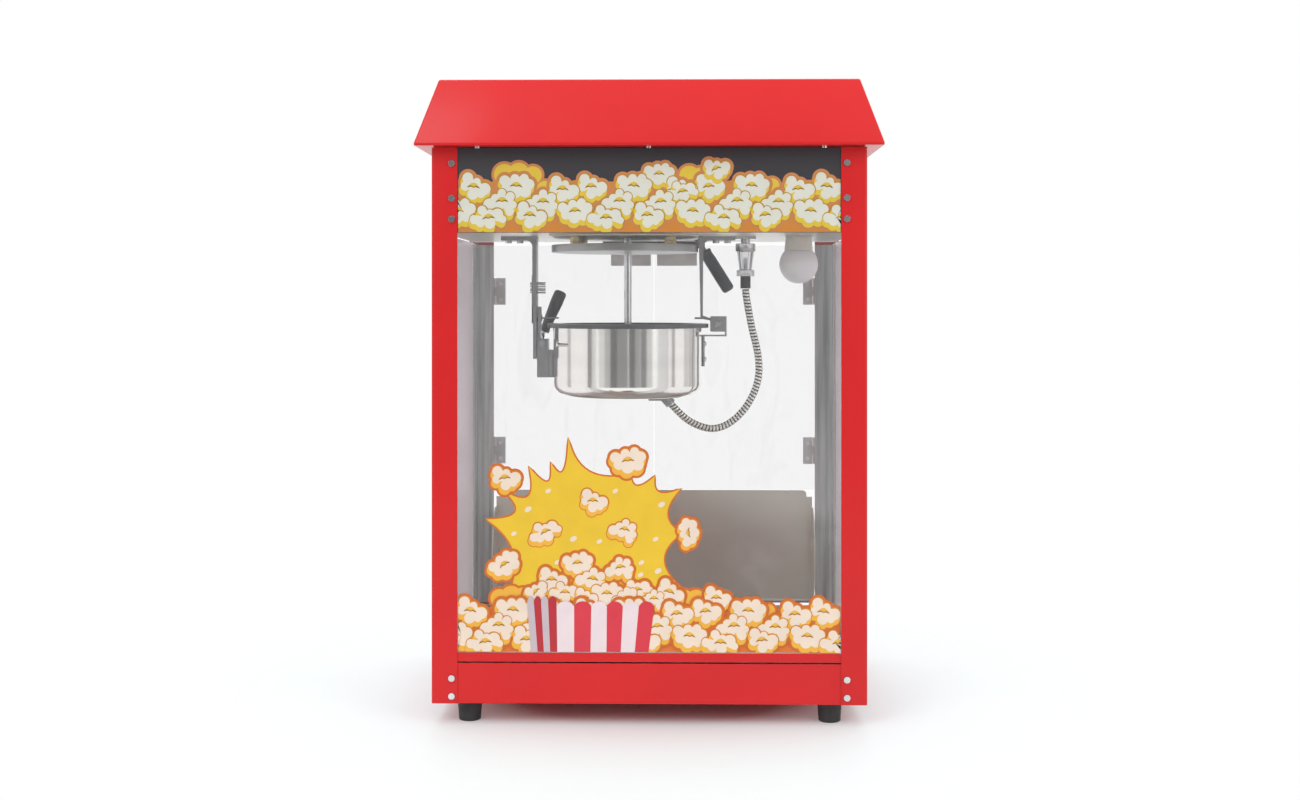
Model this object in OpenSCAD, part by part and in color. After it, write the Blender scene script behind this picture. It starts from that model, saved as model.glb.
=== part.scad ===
// Countertop popcorn machine. Millimetres, +Z up, front faces -Y.
// Origin: on the surface it stands on, under the middle of the roof's outline.

/* [Cabinet] */
// Width over the corner posts
cabinet_w = 518; // [514:1:530]
// Depth over the corner posts
cabinet_d = 375; // [371:1:385]
// Height of the eave above the surface
eave_z = 688; // [684:1:700]
// Height of the body's underside, on its feet
foot_h = 25; // [20:1:25]
// Width of a corner post's flange
post_w = 31; // [28:1:33]
// Thickness of the red sheet
sheet_t = 1.5; // [1.2:0.1:1.6]

/* [Roof] */
// Roof overhang at the sides
over_x = 18; // [12:1:24]
// Roof overhang at the front and the back
over_y = 21; // [14:1:26]
// Total height, to the flat top
roof_top = 768.5; // [760:0.5:790]
// How far the flat top is set in from the eave
roof_inset = 26; // [20:1:40]

/* [Kettle] */
// Outer radius of the pan's rim
rim_r = 105; // [103:0.5:105]
// Radius swept by the stirrer's blades
blade_r = 72; // [64:1:72]
// Radius of the splash disc over the kettle
disc_r = 95.5; // [88:0.5:95.5]
// Largest radius of the two handles' grips
grip_r = 8.5; // [7.5:0.5:9]

/* [Deck, drawer and doors] */
// Number of drain holes across the deck
deck_nx = 8; // [4:1:10]
// Number of drain holes from front to back
deck_ny = 10; // [4:1:10]
// Half the width of the drawer's tray
drawer_x = 108; // [90:1:108]
// Lower edge of the doors
door_z0 = 237.5; // [237.5:0.5:242]
// Upper edge of the doors
door_z1 = 583; // [575:1:584]

/* [Hidden] */

hx = cabinet_w / 2;            // outer face of the posts, across
hy = cabinet_d / 2;            // outer face of the posts, front to back
jx = hx - post_w;              // inner edge of a post's flange
gap = 0.3;                     // running gap between parts that move
eave_x = hx + over_x;
eave_y = hy + over_y;
post_top = eave_z - 1;
deck_z = 73.2;                 // underside of the deck plate
deck_t = 1.5;
rail_z0 = deck_z + deck_t + 0.2;
header_z = 585.5;              // lower edge of the header panel
ceiling_z = 588;               // underside of the ceiling plate
ceiling_t = 1.2;
plate_z = 586;                 // underside of the hanger plate
shroud_z = 588.4;              // lower edge of the header shroud
pane_t = 3;
glass_z1 = header_z + 0.4;

pivot = [86, 0, 474];          // kettle pivot, its axis along Y
kettle_x = -31;                // kettle centre, across the cabinet
shell_r = 97.5;                // outside of the stainless shell
kettle_z = 381;                // underside of the shell
rim_z = 475;                   // top of the pan's rim
rim_lip = 5.5;                 // height of the rim's turned-down edge
pan_r = 91;                    // inside of the pan
pan_z = 392;                   // its floor
shaft_r = 5;
disc_x = -35;                  // splash disc's centre, clear of the right hanger
disc_z = 567.4;                // its lower edge
disc_rim = 9.4;                // height of its turned-up rim
collar_z = 611.3;              // underside of the shaft's collar
lever_y = 52;                  // the lift lever's plane
lever_p = [49.6, 603];         // its pivot, X and Z
lever_a = 148;                 // its handle's angle from +Z
hub_z0 = 636;                  // foot of the drive hub
gear_z0 = 642;                 // underside of the gearbox
lamp = [191.6, 2.5];           // lamp axis, X and Y
plug_x = 122.3;                // connector axis
screw_x = hx - 24.2;           // column of screws down each post
base_screws = [34, 55.3];      // heights of a post's lower and upper screws
head_screws = [601.6, 626.5, 668];
post_screws = concat(base_screws, head_screws);
eave_screws = [-203.5, 0, 207.6];
hanger_screws = [-187, -172, 84, 99];
leaf_screws = [517.6, 525.4];    // bolts of the detent's leaf
foot_x = hx - 42.5;
foot_y = hy - 27.5;

hinge_y = hy + 2.9;            // door hinge axis
hinge_z = [292, 518];          // middle of each door hinge
post_leaf_x = jx + 10.5;       // screws of the leaf on the post
door_leaf_x = jx - 10;         // screws of the leaf on the door
catch_x = [18, 47];            // screws of a door's catch plate
catch_z = 568;
knuckle_r = 2.8;
hinge_pin_r = 1.2;
leaf_h = 38;
flap_y = hy - 2.8;             // flap hinge axis
flap_z = 80;
flap_tube_r = 3.4;
flap_pin_r = 1.65;
switch_x = [-60, 0, 60];
switch_z = 640;
rocker_y = hy - 1.3;           // axis of a rocker
rocker_pin_r = 1.45;

drawer_z0 = 30.2;
drawer_z1 = 62;
drawer_y0 = -100;
gland_x = 200;                 // mains gland
gland_z = 612;

grip_foot = [-144.3, 42.2, 463.5];
grip_tip = [-121.6, 49, 517.5];
grip_len = norm(grip_tip - grip_foot);
grip_way = (grip_tip - grip_foot) / grip_len;
crank = grip_foot - 4.5 * grip_way;  // bend of the tilt handle's rod
rod_r = 2.95;
bend_r = 3.3;                  // the rod thickens a little where it is bent
lift_foot = 37.5;              // start of the lift grip, along the lever's stem

// Gland end and hose route, X and Z, from the gland to the boot
gland_a = 137.7;
gland_p = [17, kettle_z - 2];
hose = [[23.5, 371.9], [28, 367], [35.5, 359.4], [45, 350.9], [55, 344.8], [66, 340.4],
        [77, 338.3], [88, 339.5], [98, 343.5], [107.5, 350], [116, 358], [124, 368],
        [130.8, 380], [135.5, 391], [138.5, 402.5], [139.7, 413], [139.5, 424],
        [138.3, 435], [136.1, 446], [133.5, 457], [130.8, 468], [128.6, 479],
        [126.6, 490], [124.8, 500.5], [123.2, 510.5], [122.3, 519.8]];
hose_r = 5;
hose_n = 12;

red = [0.78, 0.05, 0.08];
steel = [0.75, 0.75, 0.74];
grey = [0.55, 0.56, 0.57];
black = [0.08, 0.08, 0.09];
clear = [0.85, 0.9, 0.92, 0.3];
brass = [0.8, 0.66, 0.35];

// A box given by its limits
module slab(x0, x1, y0, y1, z0, z1) {
  translate([x0, y0, z0]) cube([x1 - x0, y1 - y0, z1 - z0]);
}

module pair_x() {
  children();
  mirror([1, 0, 0]) children();
}

module along_x(r, x0, x1, y, z) {
  translate([x0, y, z]) rotate([0, 90, 0]) cylinder(r = r, h = x1 - x0, $fn = 64);
}

module along_y(r, x, y0, y1, z) {
  translate([x, y1, z]) rotate([90, 0, 0]) cylinder(r = r, h = y1 - y0, $fn = 64);
}

module along_z(r, x, y, z0, z1) {
  translate([x, y, z0]) cylinder(r = r, h = z1 - z0, $fn = 64);
}

// A flat profile in X and Z, given its depth in Y
module in_xz(y0, y1) {
  translate([0, y1, 0]) rotate([90, 0, 0]) linear_extrude(y1 - y0) children();
}

// Half the outline of a flat-bottomed cup with a rounded corner
module cup_half(r, z0, z1, f) {
  translate([0, z0 + f]) square([r, z1 - z0 - f]);
  translate([0, z0]) square([r - f, f]);
  intersection() {
    translate([r - f, z0 + f]) circle(r = f, $fn = 96);
    translate([r - f, z0]) square([f, f]);
  }
}

// A pan-head screw with its head at h0..h1 along -Y from the face y
module screw_front(x, y, z, len) {
  along_y(3.9, x, y - 2.2, y, z);
  along_y(1.9, x, y, y + len, z);
}

// ---- cabinet ----

module base_pan() {
  x = hx - sheet_t - 0.2;
  y = hy - sheet_t - 0.2;
  color(red) difference() {
    slab(-x, x, -y, y, foot_h, deck_z - 0.2);
    slab(-x + sheet_t, x - sheet_t, -y + sheet_t, y - sheet_t, foot_h + sheet_t, deck_z + 1);
    slab(-drawer_x - 3, drawer_x + 3, y - sheet_t - 1, y + 1, drawer_z0 - 0.7, drawer_z1 + 3);
    for (sx = [-1, 1], sy = [-1, 1])
      along_z(2.2, sx * foot_x, sy * foot_y, foot_h - 1, foot_h + sheet_t + 1);
    for (s = [-1, 1], z = base_screws)
      along_y(2, s * screw_x, -hy, hy, z);
  }
  color(grey) pair_x()
    slab(drawer_x - 4, drawer_x + 2, drawer_y0, y - sheet_t - 2, foot_h + sheet_t,
         drawer_z0 - gap);
}

module deck_plate() {
  ear_x = jx - 2.8;
  color(steel) {
    difference() {
      slab(-hx + 4, hx - 4, -hy + 7.5, hy - 11.5, deck_z, deck_z + deck_t);
      for (i = [0:deck_nx - 1], j = [0:deck_ny - 1])
        along_z(5, (i - (deck_nx - 1) / 2) * 24, -85 + j * 24, deck_z - 1, deck_z + deck_t + 1);
    }
    pair_x() difference() {
      slab(ear_x, ear_x + 2, hy - 17.5, hy + 0.9, deck_z, flap_z + 8);
      along_x(flap_pin_r, ear_x - 1, ear_x + 3, flap_y, flap_z);
    }
  }
}

module front_rail() {
  x = hx - 3;
  y = hy - sheet_t - 0.2;
  color(red) {
    slab(-x, x, -y, -y + 1.2, rail_z0, 85.5);
    slab(-x, x, -y, -hy + 6.5, rail_z0, rail_z0 + 1.2);
  }
}

// One angle in the +X +Y corner, with its screw holes
module post_angle(front) {
  difference() {
    slab(jx, hx, hy - post_w, hy, foot_h, post_top);
    slab(jx - 1, hx - sheet_t, hy - post_w - 1, hy - sheet_t, foot_h - 1, post_top + 1);
    for (z = post_screws)
      along_y(2, screw_x, hy - 5, hy + 1, z);
    if (!front)
      for (z = hinge_z, s = [-1, 1])
        along_y(1.6, post_leaf_x, hy - 5, hy + 1, z + s * 11);
  }
}

module corner_posts() {
  color(red) pair_x() {
    post_angle(false);
    mirror([0, 1, 0]) post_angle(true);
  }
}

// A stepped strip inside each rear post
module post_liners() {
  y = hy - sheet_t - 0.4;
  step = hx - 15.8;
  side = hx - 7.4;
  color(grey) pair_x() translate([0, 0, 76]) linear_extrude(508) polygon([
    [jx, y], [jx, y - 1.2], [step, y - 1.2], [step, y - 4.2], [side, y - 4.2],
    [side, hy - 37.5], [side + 1.2, hy - 37.5], [side + 1.2, y - 3], [step + 1.2, y - 3],
    [step + 1.2, y]]);
}

module side_pane() {
  color(clear) slab(hx - 4.8, hx - 1.8, -hy + 6.5, hy - 6.5, rail_z0, glass_z1);
}

module left_side_pane() {
  mirror([1, 0, 0]) side_pane();
}

module right_side_pane() {
  side_pane();
}

module front_pane() {
  y = -hy + sheet_t + 1.5;
  color(clear) slab(-hx + 9, hx - 9, y, y + pane_t, rail_z0 + 1.3, glass_z1);
}

module header_panel() {
  y = -hy + sheet_t + 0.1;
  color(black) difference() {
    slab(-hx + 2, hx - 2, y, y + 1.2, header_z, post_top - 0.2);
    for (s = [-1, 1], z = head_screws)
      along_y(2, s * screw_x, y - 1, y + 2, z);
  }
}

module header_shroud() {
  y = hy - sheet_t - 0.1;
  x = hx - sheet_t - 0.1;
  color(red) difference() {
    slab(-x, x, -hy + 5.5, y, shroud_z, post_top - 0.2);
    slab(-x + 1.2, x - 1.2, -hy + 4.5, y - 1.2, shroud_z - 1, post_top + 1);
    for (sx = switch_x)
      slab(sx - 10.4, sx + 10.4, y - 2, y + 1, switch_z - 15.4, switch_z + 15.4);
    along_y(6, gland_x, y - 2, y + 1, gland_z);
    for (s = [-1, 1], z = head_screws)
      along_y(2, s * screw_x, y - 3, y + 2, z);
  }
}

module hip(x0, y0, z0, x1, y1, z1) {
  polyhedron(
    points = [[-x0, -y0, z0], [x0, -y0, z0], [x0, y0, z0], [-x0, y0, z0],
              [-x1, -y1, z1], [x1, -y1, z1], [x1, y1, z1], [-x1, y1, z1]],
    faces = [[0, 1, 2, 3], [4, 7, 6, 5], [0, 4, 5, 1], [1, 5, 6, 2], [2, 6, 7, 3], [3, 7, 4, 0]]);
}

module roof_cover() {
  hem_z = eave_z + 2.5;
  low = eave_z - 0.6;
  tx = eave_x - roof_inset;
  ty = eave_y - roof_inset;
  color(red) {
    difference() {
      hip(eave_x, eave_y, hem_z, tx, ty, roof_top);
      hip(eave_x - 1.6, eave_y - 1.6, hem_z - 0.02, tx - 1.2, ty - 1.2, roof_top - 1.4);
    }
    difference() {
      slab(-eave_x, eave_x, -eave_y, eave_y, low, hem_z);
      slab(-eave_x + 1.6, eave_x - 1.6, -eave_y + 1.6, eave_y - 1.6, low + 1.2, hem_z + 1);
      slab(-hx + 19, hx - 19, -hy + 17.5, hy - 17.5, low - 1, low + 2);
      for (x = eave_screws)
        along_z(1.9, x, -hy - 6, low - 1, low + 2);
    }
  }
}

module ceiling_plate() {
  z0 = ceiling_z - 1;
  z1 = ceiling_z + ceiling_t + 1;
  color(steel) difference() {
    slab(-hx + 5, hx - 5, -hy + 7.5, hy - 5.5, ceiling_z, ceiling_z + ceiling_t);
    along_z(9, kettle_x, 0, z0, z1);
    along_z(18, lamp[0], lamp[1], z0, z1);
    along_z(7, plug_x, 0, z0, z1);
    slab(48, 69, lever_y - 6, lever_y + 6, z0, z1);
  }
}

module hanger_plate() {
  color(steel) difference() {
    slab(-126, 60.5, -96, 96, plate_z, ceiling_z - 0.1);
    along_z(9, kettle_x, 0, plate_z - 1, ceiling_z + 1);
    slab(44, 62, lever_y - 6, lever_y + 6, plate_z - 1, ceiling_z + 1);
  }
}

module splash_disc() {
  color(steel) translate([disc_x, 0, disc_z]) rotate_extrude($fn = 96) {
    translate([9, 0]) square([disc_r - 9, 1.2]);
    translate([disc_r - 1.2, 0]) square([1.2, disc_rim]);
  }
}

module disc_standoffs() {
  reach = (disc_r - 11) / sqrt(2);
  color(brass) for (sx = [-1, 1], sy = [-1, 1])
    translate([disc_x + sx * reach, sy * reach, disc_z + 1.2]) {
      cylinder(r = 3, h = plate_z - disc_z - 1.2, $fn = 48);
      for (z = [disc_rim - 2.2, disc_rim + 2.8])
        translate([0, 0, z]) cylinder(r = 7.5, h = 4.8, $fn = 6);
    }
}

module left_hanger() {
  f = 8.5;
  color(grey) difference() {
    union() {
      in_xz(-12, 14) {
        translate([-196, 583]) square([47, 5]);
        translate([-155, 498]) square([5.6, 90]);
        translate([-154, 429]) square([4.6, 70]);
        difference() {
          translate([-155 - f, 583 - f]) square([f + 1, f + 1]);
          translate([-155 - f, 583 - f]) circle(r = f, $fn = 64);
        }
      }
    }
    along_x(2.7, -157, -148, 0, 480);
    for (z = leaf_screws)
      along_x(2, -158, -148, 0, z);
    for (x = [-187, -172])
      along_z(2, x, 0, 582, 589);
  }
}

module right_hanger() {
  f = 9;
  pz = pivot[2];
  color(grey) difference() {
    union() {
      in_xz(-12, 12) {
        translate([61.6, 583]) square([47.1, 5]);
        polygon([[61.6, 584], [67.3, 584], [66.6, 482], [63.6, 482]]);
        difference() {
          translate([66.3, 583 - f]) square([f + 1, f + 1]);
          translate([67.3 + f, 583 - f]) circle(r = f, $fn = 64);
        }
        translate([56, 480.8]) square([10.6, 2.4]);
      }
      in_xz(-6, 6) {
        polygon([[64, 483.2], [66.6, 485.4], [pivot[0] - 1, pz + 5], [pivot[0] - 1, pz + 2.2],
                 [74.6, 479.4], [66, 480.8]]);
        translate([pivot[0], pz]) circle(r = 5, $fn = 64);
      }
    }
    along_y(3.05, pivot[0], -13, 13, pz);
    for (x = [84, 99])
      along_z(2, x, 0, 582, 589);
  }
}

module detent_spring() {
  color(black) {
    difference() {
      slab(-156.2, -155.05, -6, 6, 475, 538);
      for (z = leaf_screws)
        along_x(2, -158, -154, 0, z);
    }
    along_x(2.5, -156, -149, 0, 480);
    translate([-149, 0, 480]) rotate([0, 90, 0]) cylinder(r1 = 2.5, r2 = 1.2, h = 0.8, $fn = 48);
  }
}

module connector_socket() {
  color(black) {
    slab(plug_x - 13, plug_x + 13, -13, 13, 584.5, ceiling_z - 0.05);
    along_z(6, plug_x, 0, 577, 600);
  }
}

module connector_plug() {
  color(steel) translate([plug_x, 0, 0]) rotate_extrude($fn = 96) difference() {
    union() {
      translate([0, 568.3]) square([12.8, 10.7]);
      polygon([[0, 544], [8, 544], [11, 568.3], [0, 568.3]]);
      translate([0, 536.4]) square([11.6, 8.2]);
    }
    translate([0, 576.9]) square([6.1, 4]);
    translate([0, 536]) square([4.9, 6]);
  }
}

module connector_boot() {
  color(black) difference() {
    along_z(6.6, plug_x, 0, 520.6, 536.3);
    along_z(4.2, plug_x, 0, 519, 531);
  }
}

module lamp_holder() {
  color([0.9, 0.88, 0.82]) difference() {
    along_z(21, lamp[0], lamp[1], 597, 640);
    along_z(13.4, lamp[0], lamp[1], 596, 628);
  }
}

module lamp_body() {
  color([0.93, 0.9, 0.85]) {
    along_z(13.2, lamp[0], lamp[1], 596.5, 626);
    translate([lamp[0], lamp[1], 569.6])
      rotate_extrude($fn = 96) polygon([[0, 0], [18.2, 0], [16.3, 22], [14, 26.9], [0, 26.9]]);
  }
}

module lamp_globe() {
  color([0.98, 0.98, 0.97]) intersection() {
    translate([lamp[0], lamp[1], 552.2]) sphere(r = 25.2, $fn = 96);
    along_z(40, lamp[0], lamp[1], 520, 569.5);
  }
}

module motor_bridge() {
  z = gear_z0 - 0.1;
  color(grey) difference() {
    union() {
      slab(kettle_x - 50, kettle_x + 92, -36, 36, z - 2, z);
      for (x = [kettle_x - 50, kettle_x + 90])
        slab(x, x + 2, -36, 36, ceiling_z + ceiling_t, z);
      slab(kettle_x - 64, kettle_x - 48, -36, 36, ceiling_z + ceiling_t, ceiling_z + ceiling_t + 2);
      slab(kettle_x + 90, kettle_x + 106, -36, 36, ceiling_z + ceiling_t, ceiling_z + ceiling_t + 2);
    }
    along_z(11, kettle_x, 0, z - 3, z + 1);
  }
}

module gear_motor() {
  x = kettle_x + 54;
  color(grey) difference() {
    slab(kettle_x - 38, kettle_x + 86, -32, 32, gear_z0, 672);
    along_z(9.05, kettle_x, 0, gear_z0 - 1, 673);
  }
  color(black) {
    along_z(27, x, 0, 672, 722);
    along_z(6, x, 0, 722, 728);
  }
}

module lever_bracket() {
  z = lever_p[1];
  color(grey) difference() {
    union() {
      for (y = [lever_y - 7.8, lever_y + 4.8])
        slab(lever_p[0] - 8, lever_p[0] + 8, y, y + 3, ceiling_z + ceiling_t, z + 8);
      slab(lever_p[0] - 20, lever_p[0] - 6, lever_y - 7.8, lever_y + 7.8,
           ceiling_z + ceiling_t, ceiling_z + ceiling_t + 2);
      along_y(3, lever_p[0], lever_y - 9, lever_y + 9, z);
    }
    slab(lever_p[0] - 6, lever_p[0] + 24, lever_y - 4.8, lever_y + 4.8, ceiling_z, ceiling_z + 4);
  }
}

module terminal_block() {
  color([0.85, 0.83, 0.76]) difference() {
    slab(-190, -120, 70, 92, ceiling_z + ceiling_t, 606);
    for (i = [0:5])
      along_z(2.6, -181 + i * 12, 81, 598, 607);
  }
}

module switch_housings() {
  y = hy - sheet_t - 0.1;
  color(black) for (x = switch_x) {
    difference() {
      slab(x - 12.5, x + 12.5, y, y + 2, switch_z - 17.5, switch_z + 17.5);
      slab(x - 9.3, x + 9.3, y - 1, y + 3, switch_z - 14.3, switch_z + 14.3);
    }
    difference() {
      slab(x - 10.2, x + 10.2, y - 22, y, switch_z - 15.2, switch_z + 15.2);
      slab(x - 9.3, x + 9.3, y - 12, y + 1, switch_z - 14.3, switch_z + 14.3);
    }
    along_x(rocker_pin_r, x - 9.6, x + 9.6, rocker_y, switch_z);
  }
}

module mains_gland() {
  y = hy - sheet_t - 0.1;
  color(black) difference() {
    union() {
      along_y(5.9, gland_x, y - 12, y, gland_z);
      translate([gland_x, y, gland_z]) rotate([-90, 0, 0]) cylinder(r = 11, h = 4, $fn = 6);
      along_y(8, gland_x, y + 4, y + 14, gland_z);
    }
    along_y(3.6, gland_x, y - 13, y + 15, gland_z);
  }
}

module feet() {
  color(black) for (sx = [-1, 1], sy = [-1, 1]) translate([sx * foot_x, sy * foot_y, 0])
    difference() {
      union() {
        translate([0, 0, 1]) cylinder(r1 = 13.2, r2 = 15, h = foot_h - 1, $fn = 64);
        cylinder(r1 = 12.2, r2 = 13.2, h = 1, $fn = 64);
      }
      translate([0, 0, -1]) cylinder(r = 6, h = 13, $fn = 48);
      cylinder(r = 2.2, h = foot_h + 1, $fn = 48);
    }
}

module cabinet_screws() {
  color(steel) {
    for (s = [-1, 1], z = post_screws) {
      screw_front(s * screw_x, -hy, z, 4);
      mirror([0, 1, 0]) screw_front(s * screw_x, -hy, z, 4);
    }
    for (x = eave_screws) {
      along_z(3.5, x, -hy - 6, eave_z - 2.9, eave_z - 0.6);
      along_z(1.8, x, -hy - 6, eave_z - 0.6, eave_z + 2);
    }
    for (x = hanger_screws) {
      along_z(4.4, x, 0, 579.6, 583);
      along_z(1.9, x, 0, 583, 587.9);
    }
    for (z = hinge_z, s = [-1, 1]) pair_x() {
      along_y(2.8, post_leaf_x, hy + 1.5, hy + 3, z + s * 11);
      along_y(1.5, post_leaf_x, hy - 1.6, hy + 1.5, z + s * 11);
    }
    for (z = leaf_screws) {
      along_x(3.6, -149.4, -138.5, 0, z);
      along_x(1.9, -158, -149.4, 0, z);
      along_x(3.4, -158.6, -156.2, 0, z);
    }
    for (sx = [-1, 1], sy = [-1, 1]) {
      along_z(5, sx * foot_x, sy * foot_y, 8.5, 12);
      along_z(2.1, sx * foot_x, sy * foot_y, 12, foot_h + 4.5);
    }
  }
}

// Hinge parts of one hinge at the +X side, centred on z
module fixed_leaf(z) {
  difference() {
    union() {
      slab(jx + 3.1, jx + 16.5, hy, hy + 1.5, z - leaf_h / 2, z + leaf_h / 2);
      for (s = [-1, 1]) {
        translate([0, 0, z + s * 12.75]) {
          slab(jx, jx + 3.2, hy + 0.1, hy + 1.5, -6.25, 6.25);
          along_z(knuckle_r, jx, hinge_y, -6.25, 6.25);
        }
      }
    }
    for (s = [-1, 1])
      along_y(1.6, post_leaf_x, hy - 1, hy + 4, z + s * 11);
  }
  along_z(hinge_pin_r, jx, hinge_y, z - leaf_h / 2, z + leaf_h / 2);
}

module moving_leaf(z) {
  difference() {
    union() {
      slab(jx - 16.5, jx - 3.1, hy, hy + 1.5, z - leaf_h / 2, z + leaf_h / 2);
      slab(jx - 3.2, jx, hy + 0.1, hy + 1.5, z - 6.2, z + 6.2);
      along_z(knuckle_r, jx, hinge_y, z - 6.2, z + 6.2);
      for (s = [-1, 1]) {
        along_y(2.9, door_leaf_x, hy + 1.5, hy + 3, z + s * 11);
        along_y(2.9, door_leaf_x, hy - pane_t - 1.9, hy - pane_t, z + s * 11);
        along_y(1.5, door_leaf_x, hy - pane_t, hy + 1.5, z + s * 11);
      }
    }
    along_z(hinge_pin_r + 0.05, jx, hinge_y, z - 8, z + 8);
  }
}

module hinge_post_halves() {
  color(brass) pair_x() for (z = hinge_z) fixed_leaf(z);
}

// The right-hand door's parts; the left-hand ones are their mirror image
module door_pane() {
  color(clear) difference() {
    slab(0.8, jx - 0.6, hy - pane_t, hy - 0.05, door_z0, door_z1);
    for (z = hinge_z, s = [-1, 1])
      along_y(1.6, door_leaf_x, hy - 5, hy + 1, z + s * 11);
    for (x = catch_x)
      along_y(1.6, x, hy - 5, hy + 1, catch_z);
  }
}

module door_hardware() {
  color(brass) for (z = hinge_z) moving_leaf(z);
  color(steel) {
    difference() {
      slab(4.5, 61, hy - pane_t - 1.5, hy - pane_t - 0.05, catch_z - 13.5, catch_z + 14.5);
      for (x = catch_x)
        along_y(1.6, x, hy - 6, hy + 1, catch_z);
    }
    difference() {
      union() {
        slab(4.5, 61, hy + 0.05, hy + 1.5, catch_z - 13.5, catch_z + 14.5);
        slab(4.5, 61, hy + 0.05, hy + 15, catch_z - 13.5, catch_z - 12);
        slab(4.5, 61, hy + 13.5, hy + 15, catch_z - 13.5, catch_z - 7);
      }
      for (x = catch_x)
        along_y(1.6, x, hy - 6, hy + 3, catch_z);
    }
    for (x = catch_x) {
      along_y(3.4, x, hy + 1.5, hy + 3.4, catch_z);
      along_y(1.5, x, hy - pane_t - 1.5, hy + 1.5, catch_z);
      along_y(3.4, x, hy - pane_t - 3.4, hy - pane_t - 1.5, catch_z);
    }
  }
}

module left_door_pane() {
  mirror([1, 0, 0]) door_pane();
}

module left_door_hardware() {
  mirror([1, 0, 0]) door_hardware();
}

module right_door_pane() {
  door_pane();
}

module right_door_hardware() {
  door_hardware();
}

module magnet_bar() {
  y = hy - pane_t - 1.9;
  color(black) slab(-72, 72, y - 12, y, 579, ceiling_z - 0.05);
}

module flap_pin() {
  color(steel) along_x(flap_pin_r, -jx + 0.2, jx - 0.2, flap_y, flap_z);
}

module serving_flap() {
  x = jx - 4;
  y0 = flap_y - 0.75;
  y1 = flap_y + 0.75;
  top = 236.2;
  color(steel) difference() {
    union() {
      slab(-x, x, y0, y1, flap_z + 1, 227);
      along_x(flap_tube_r, -x, x, flap_y, flap_z);
      in_xz(y0, y1) {
        translate([-x + 8, 226]) square([2 * x - 16, top - 232]);
        translate([-x + 14, 226]) square([2 * x - 28, top - 226]);
        for (s = [-1, 1])
          translate([s * (x - 14), top - 6]) circle(r = 6, $fn = 48);
      }
      slab(-x + 15, x - 15, y1 - 0.1, y1 + 13, top - 4, top - 2.6);
      pair_x() intersection() {
        slab(x - 1.5, x, flap_y - 58, y1, 84, 214);
        along_x(76, x - 2, x + 1, flap_y + 18, 149);
      }
    }
    along_x(flap_pin_r + 0.05, -x - 1, x + 1, flap_y, flap_z);
  }
}

// ---- kettle ----

module kettle_shell() {
  color(steel) translate([kettle_x, 0, 0]) rotate_extrude($fn = 128) difference() {
    cup_half(shell_r, kettle_z, rim_z - 1.6, 16);
    cup_half(shell_r - 1.2, kettle_z + 1.2, rim_z + 5, 14.8);
  }
}

module kettle_pan() {
  color([0.2, 0.2, 0.21]) translate([kettle_x, 0, 0]) rotate_extrude($fn = 128) {
    difference() {
      union() {
        cup_half(pan_r + 1.5, pan_z - 1.5, rim_z - 1.5, 13.5);
        translate([pan_r, rim_z - 1.5]) square([rim_r - pan_r, 1.5]);
        translate([rim_r - 1.4, rim_z - rim_lip]) square([1.4, rim_lip - 1]);
      }
      cup_half(pan_r, pan_z, rim_z + 5, 12);
    }
  }
}

module kettle_heater() {
  z0 = kettle_z + 1.4;
  z1 = pan_z - 1.7;
  color(grey) translate([kettle_x, 0, 0]) {
    translate([0, 0, (z0 + z1) / 2]) rotate_extrude($fn = 96)
      translate([62, 0]) circle(r = (z1 - z0) / 2, $fn = 48);
    translate([0, 28, z0]) cylinder(r = 9, h = z1 - z0, $fn = 48);
  }
}

module kettle_left_arm() {
  color(grey) {
    difference() {
      union() {
        slab(-149, -134.5, -10, 10, 405, 455);
        slab(-134.6, -128.5, -9, 9, 405, 441);
        slab(-147.9, -144.6, -9, 9, 454, 497);
      }
      along_y(2.5, -142.5, -11, 11, 449);
    }
    slab(-144.7, -122.5, 13, 22, 481, 483);
    slab(-147.9, -144.6, 8, 22, 478, 486);
  }
}

module kettle_right_arm() {
  px = pivot[0];
  pz = pivot[2];
  color(grey) difference() {
    union() {
      in_xz(-9.3, 9.3) {
        translate([66.6, 419.4]) square([2.4, 40]);
        translate([66.6, 458.4]) square([30.8, 2]);
        translate([95.5, 458.4]) square([1.9, 26]);
      }
      for (y = [-9.3, 6.3]) in_xz(y, y + 3) {
        translate([px - 9.6, pz - 8.1]) square([19.4, 17]);
        translate([px - 8.1, pz - 9.6]) square([17.8, 20]);
        for (q = [[px - 8.1, pz - 8.1], [px - 8.1, pz + 8.9]])
          translate(q) circle(r = 1.5, $fn = 32);
      }
    }
    along_y(3, px, -10, 10, pz);
  }
}

module kettle_fasteners() {
  color(steel) {
    along_y(3, pivot[0], -9.4, 11, pivot[2]);
    along_y(4.4, pivot[0], -11.4, -9.4, pivot[2]);
    along_y(4.4, pivot[0], 9.4, 11.4, pivot[2]);
    along_y(4.3, -142.5, -12.4, -10, 449);
    along_y(2.4, -142.5, -10, 9.9, 449);
    for (z = [428.6, 448.4])
      intersection() {
        translate([67.2, 0, z]) sphere(r = 4.6, $fn = 48);
        slab(69, 73, -6, 6, z - 6, z + 6);
      }
    rotate_about_kettle(214) along_x(2.3, shell_r, shell_r + 9, 0, 448.5);
  }
}

module rotate_about_kettle(a) {
  translate([kettle_x, 0, 0]) rotate([0, 0, a]) children();
}

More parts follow.
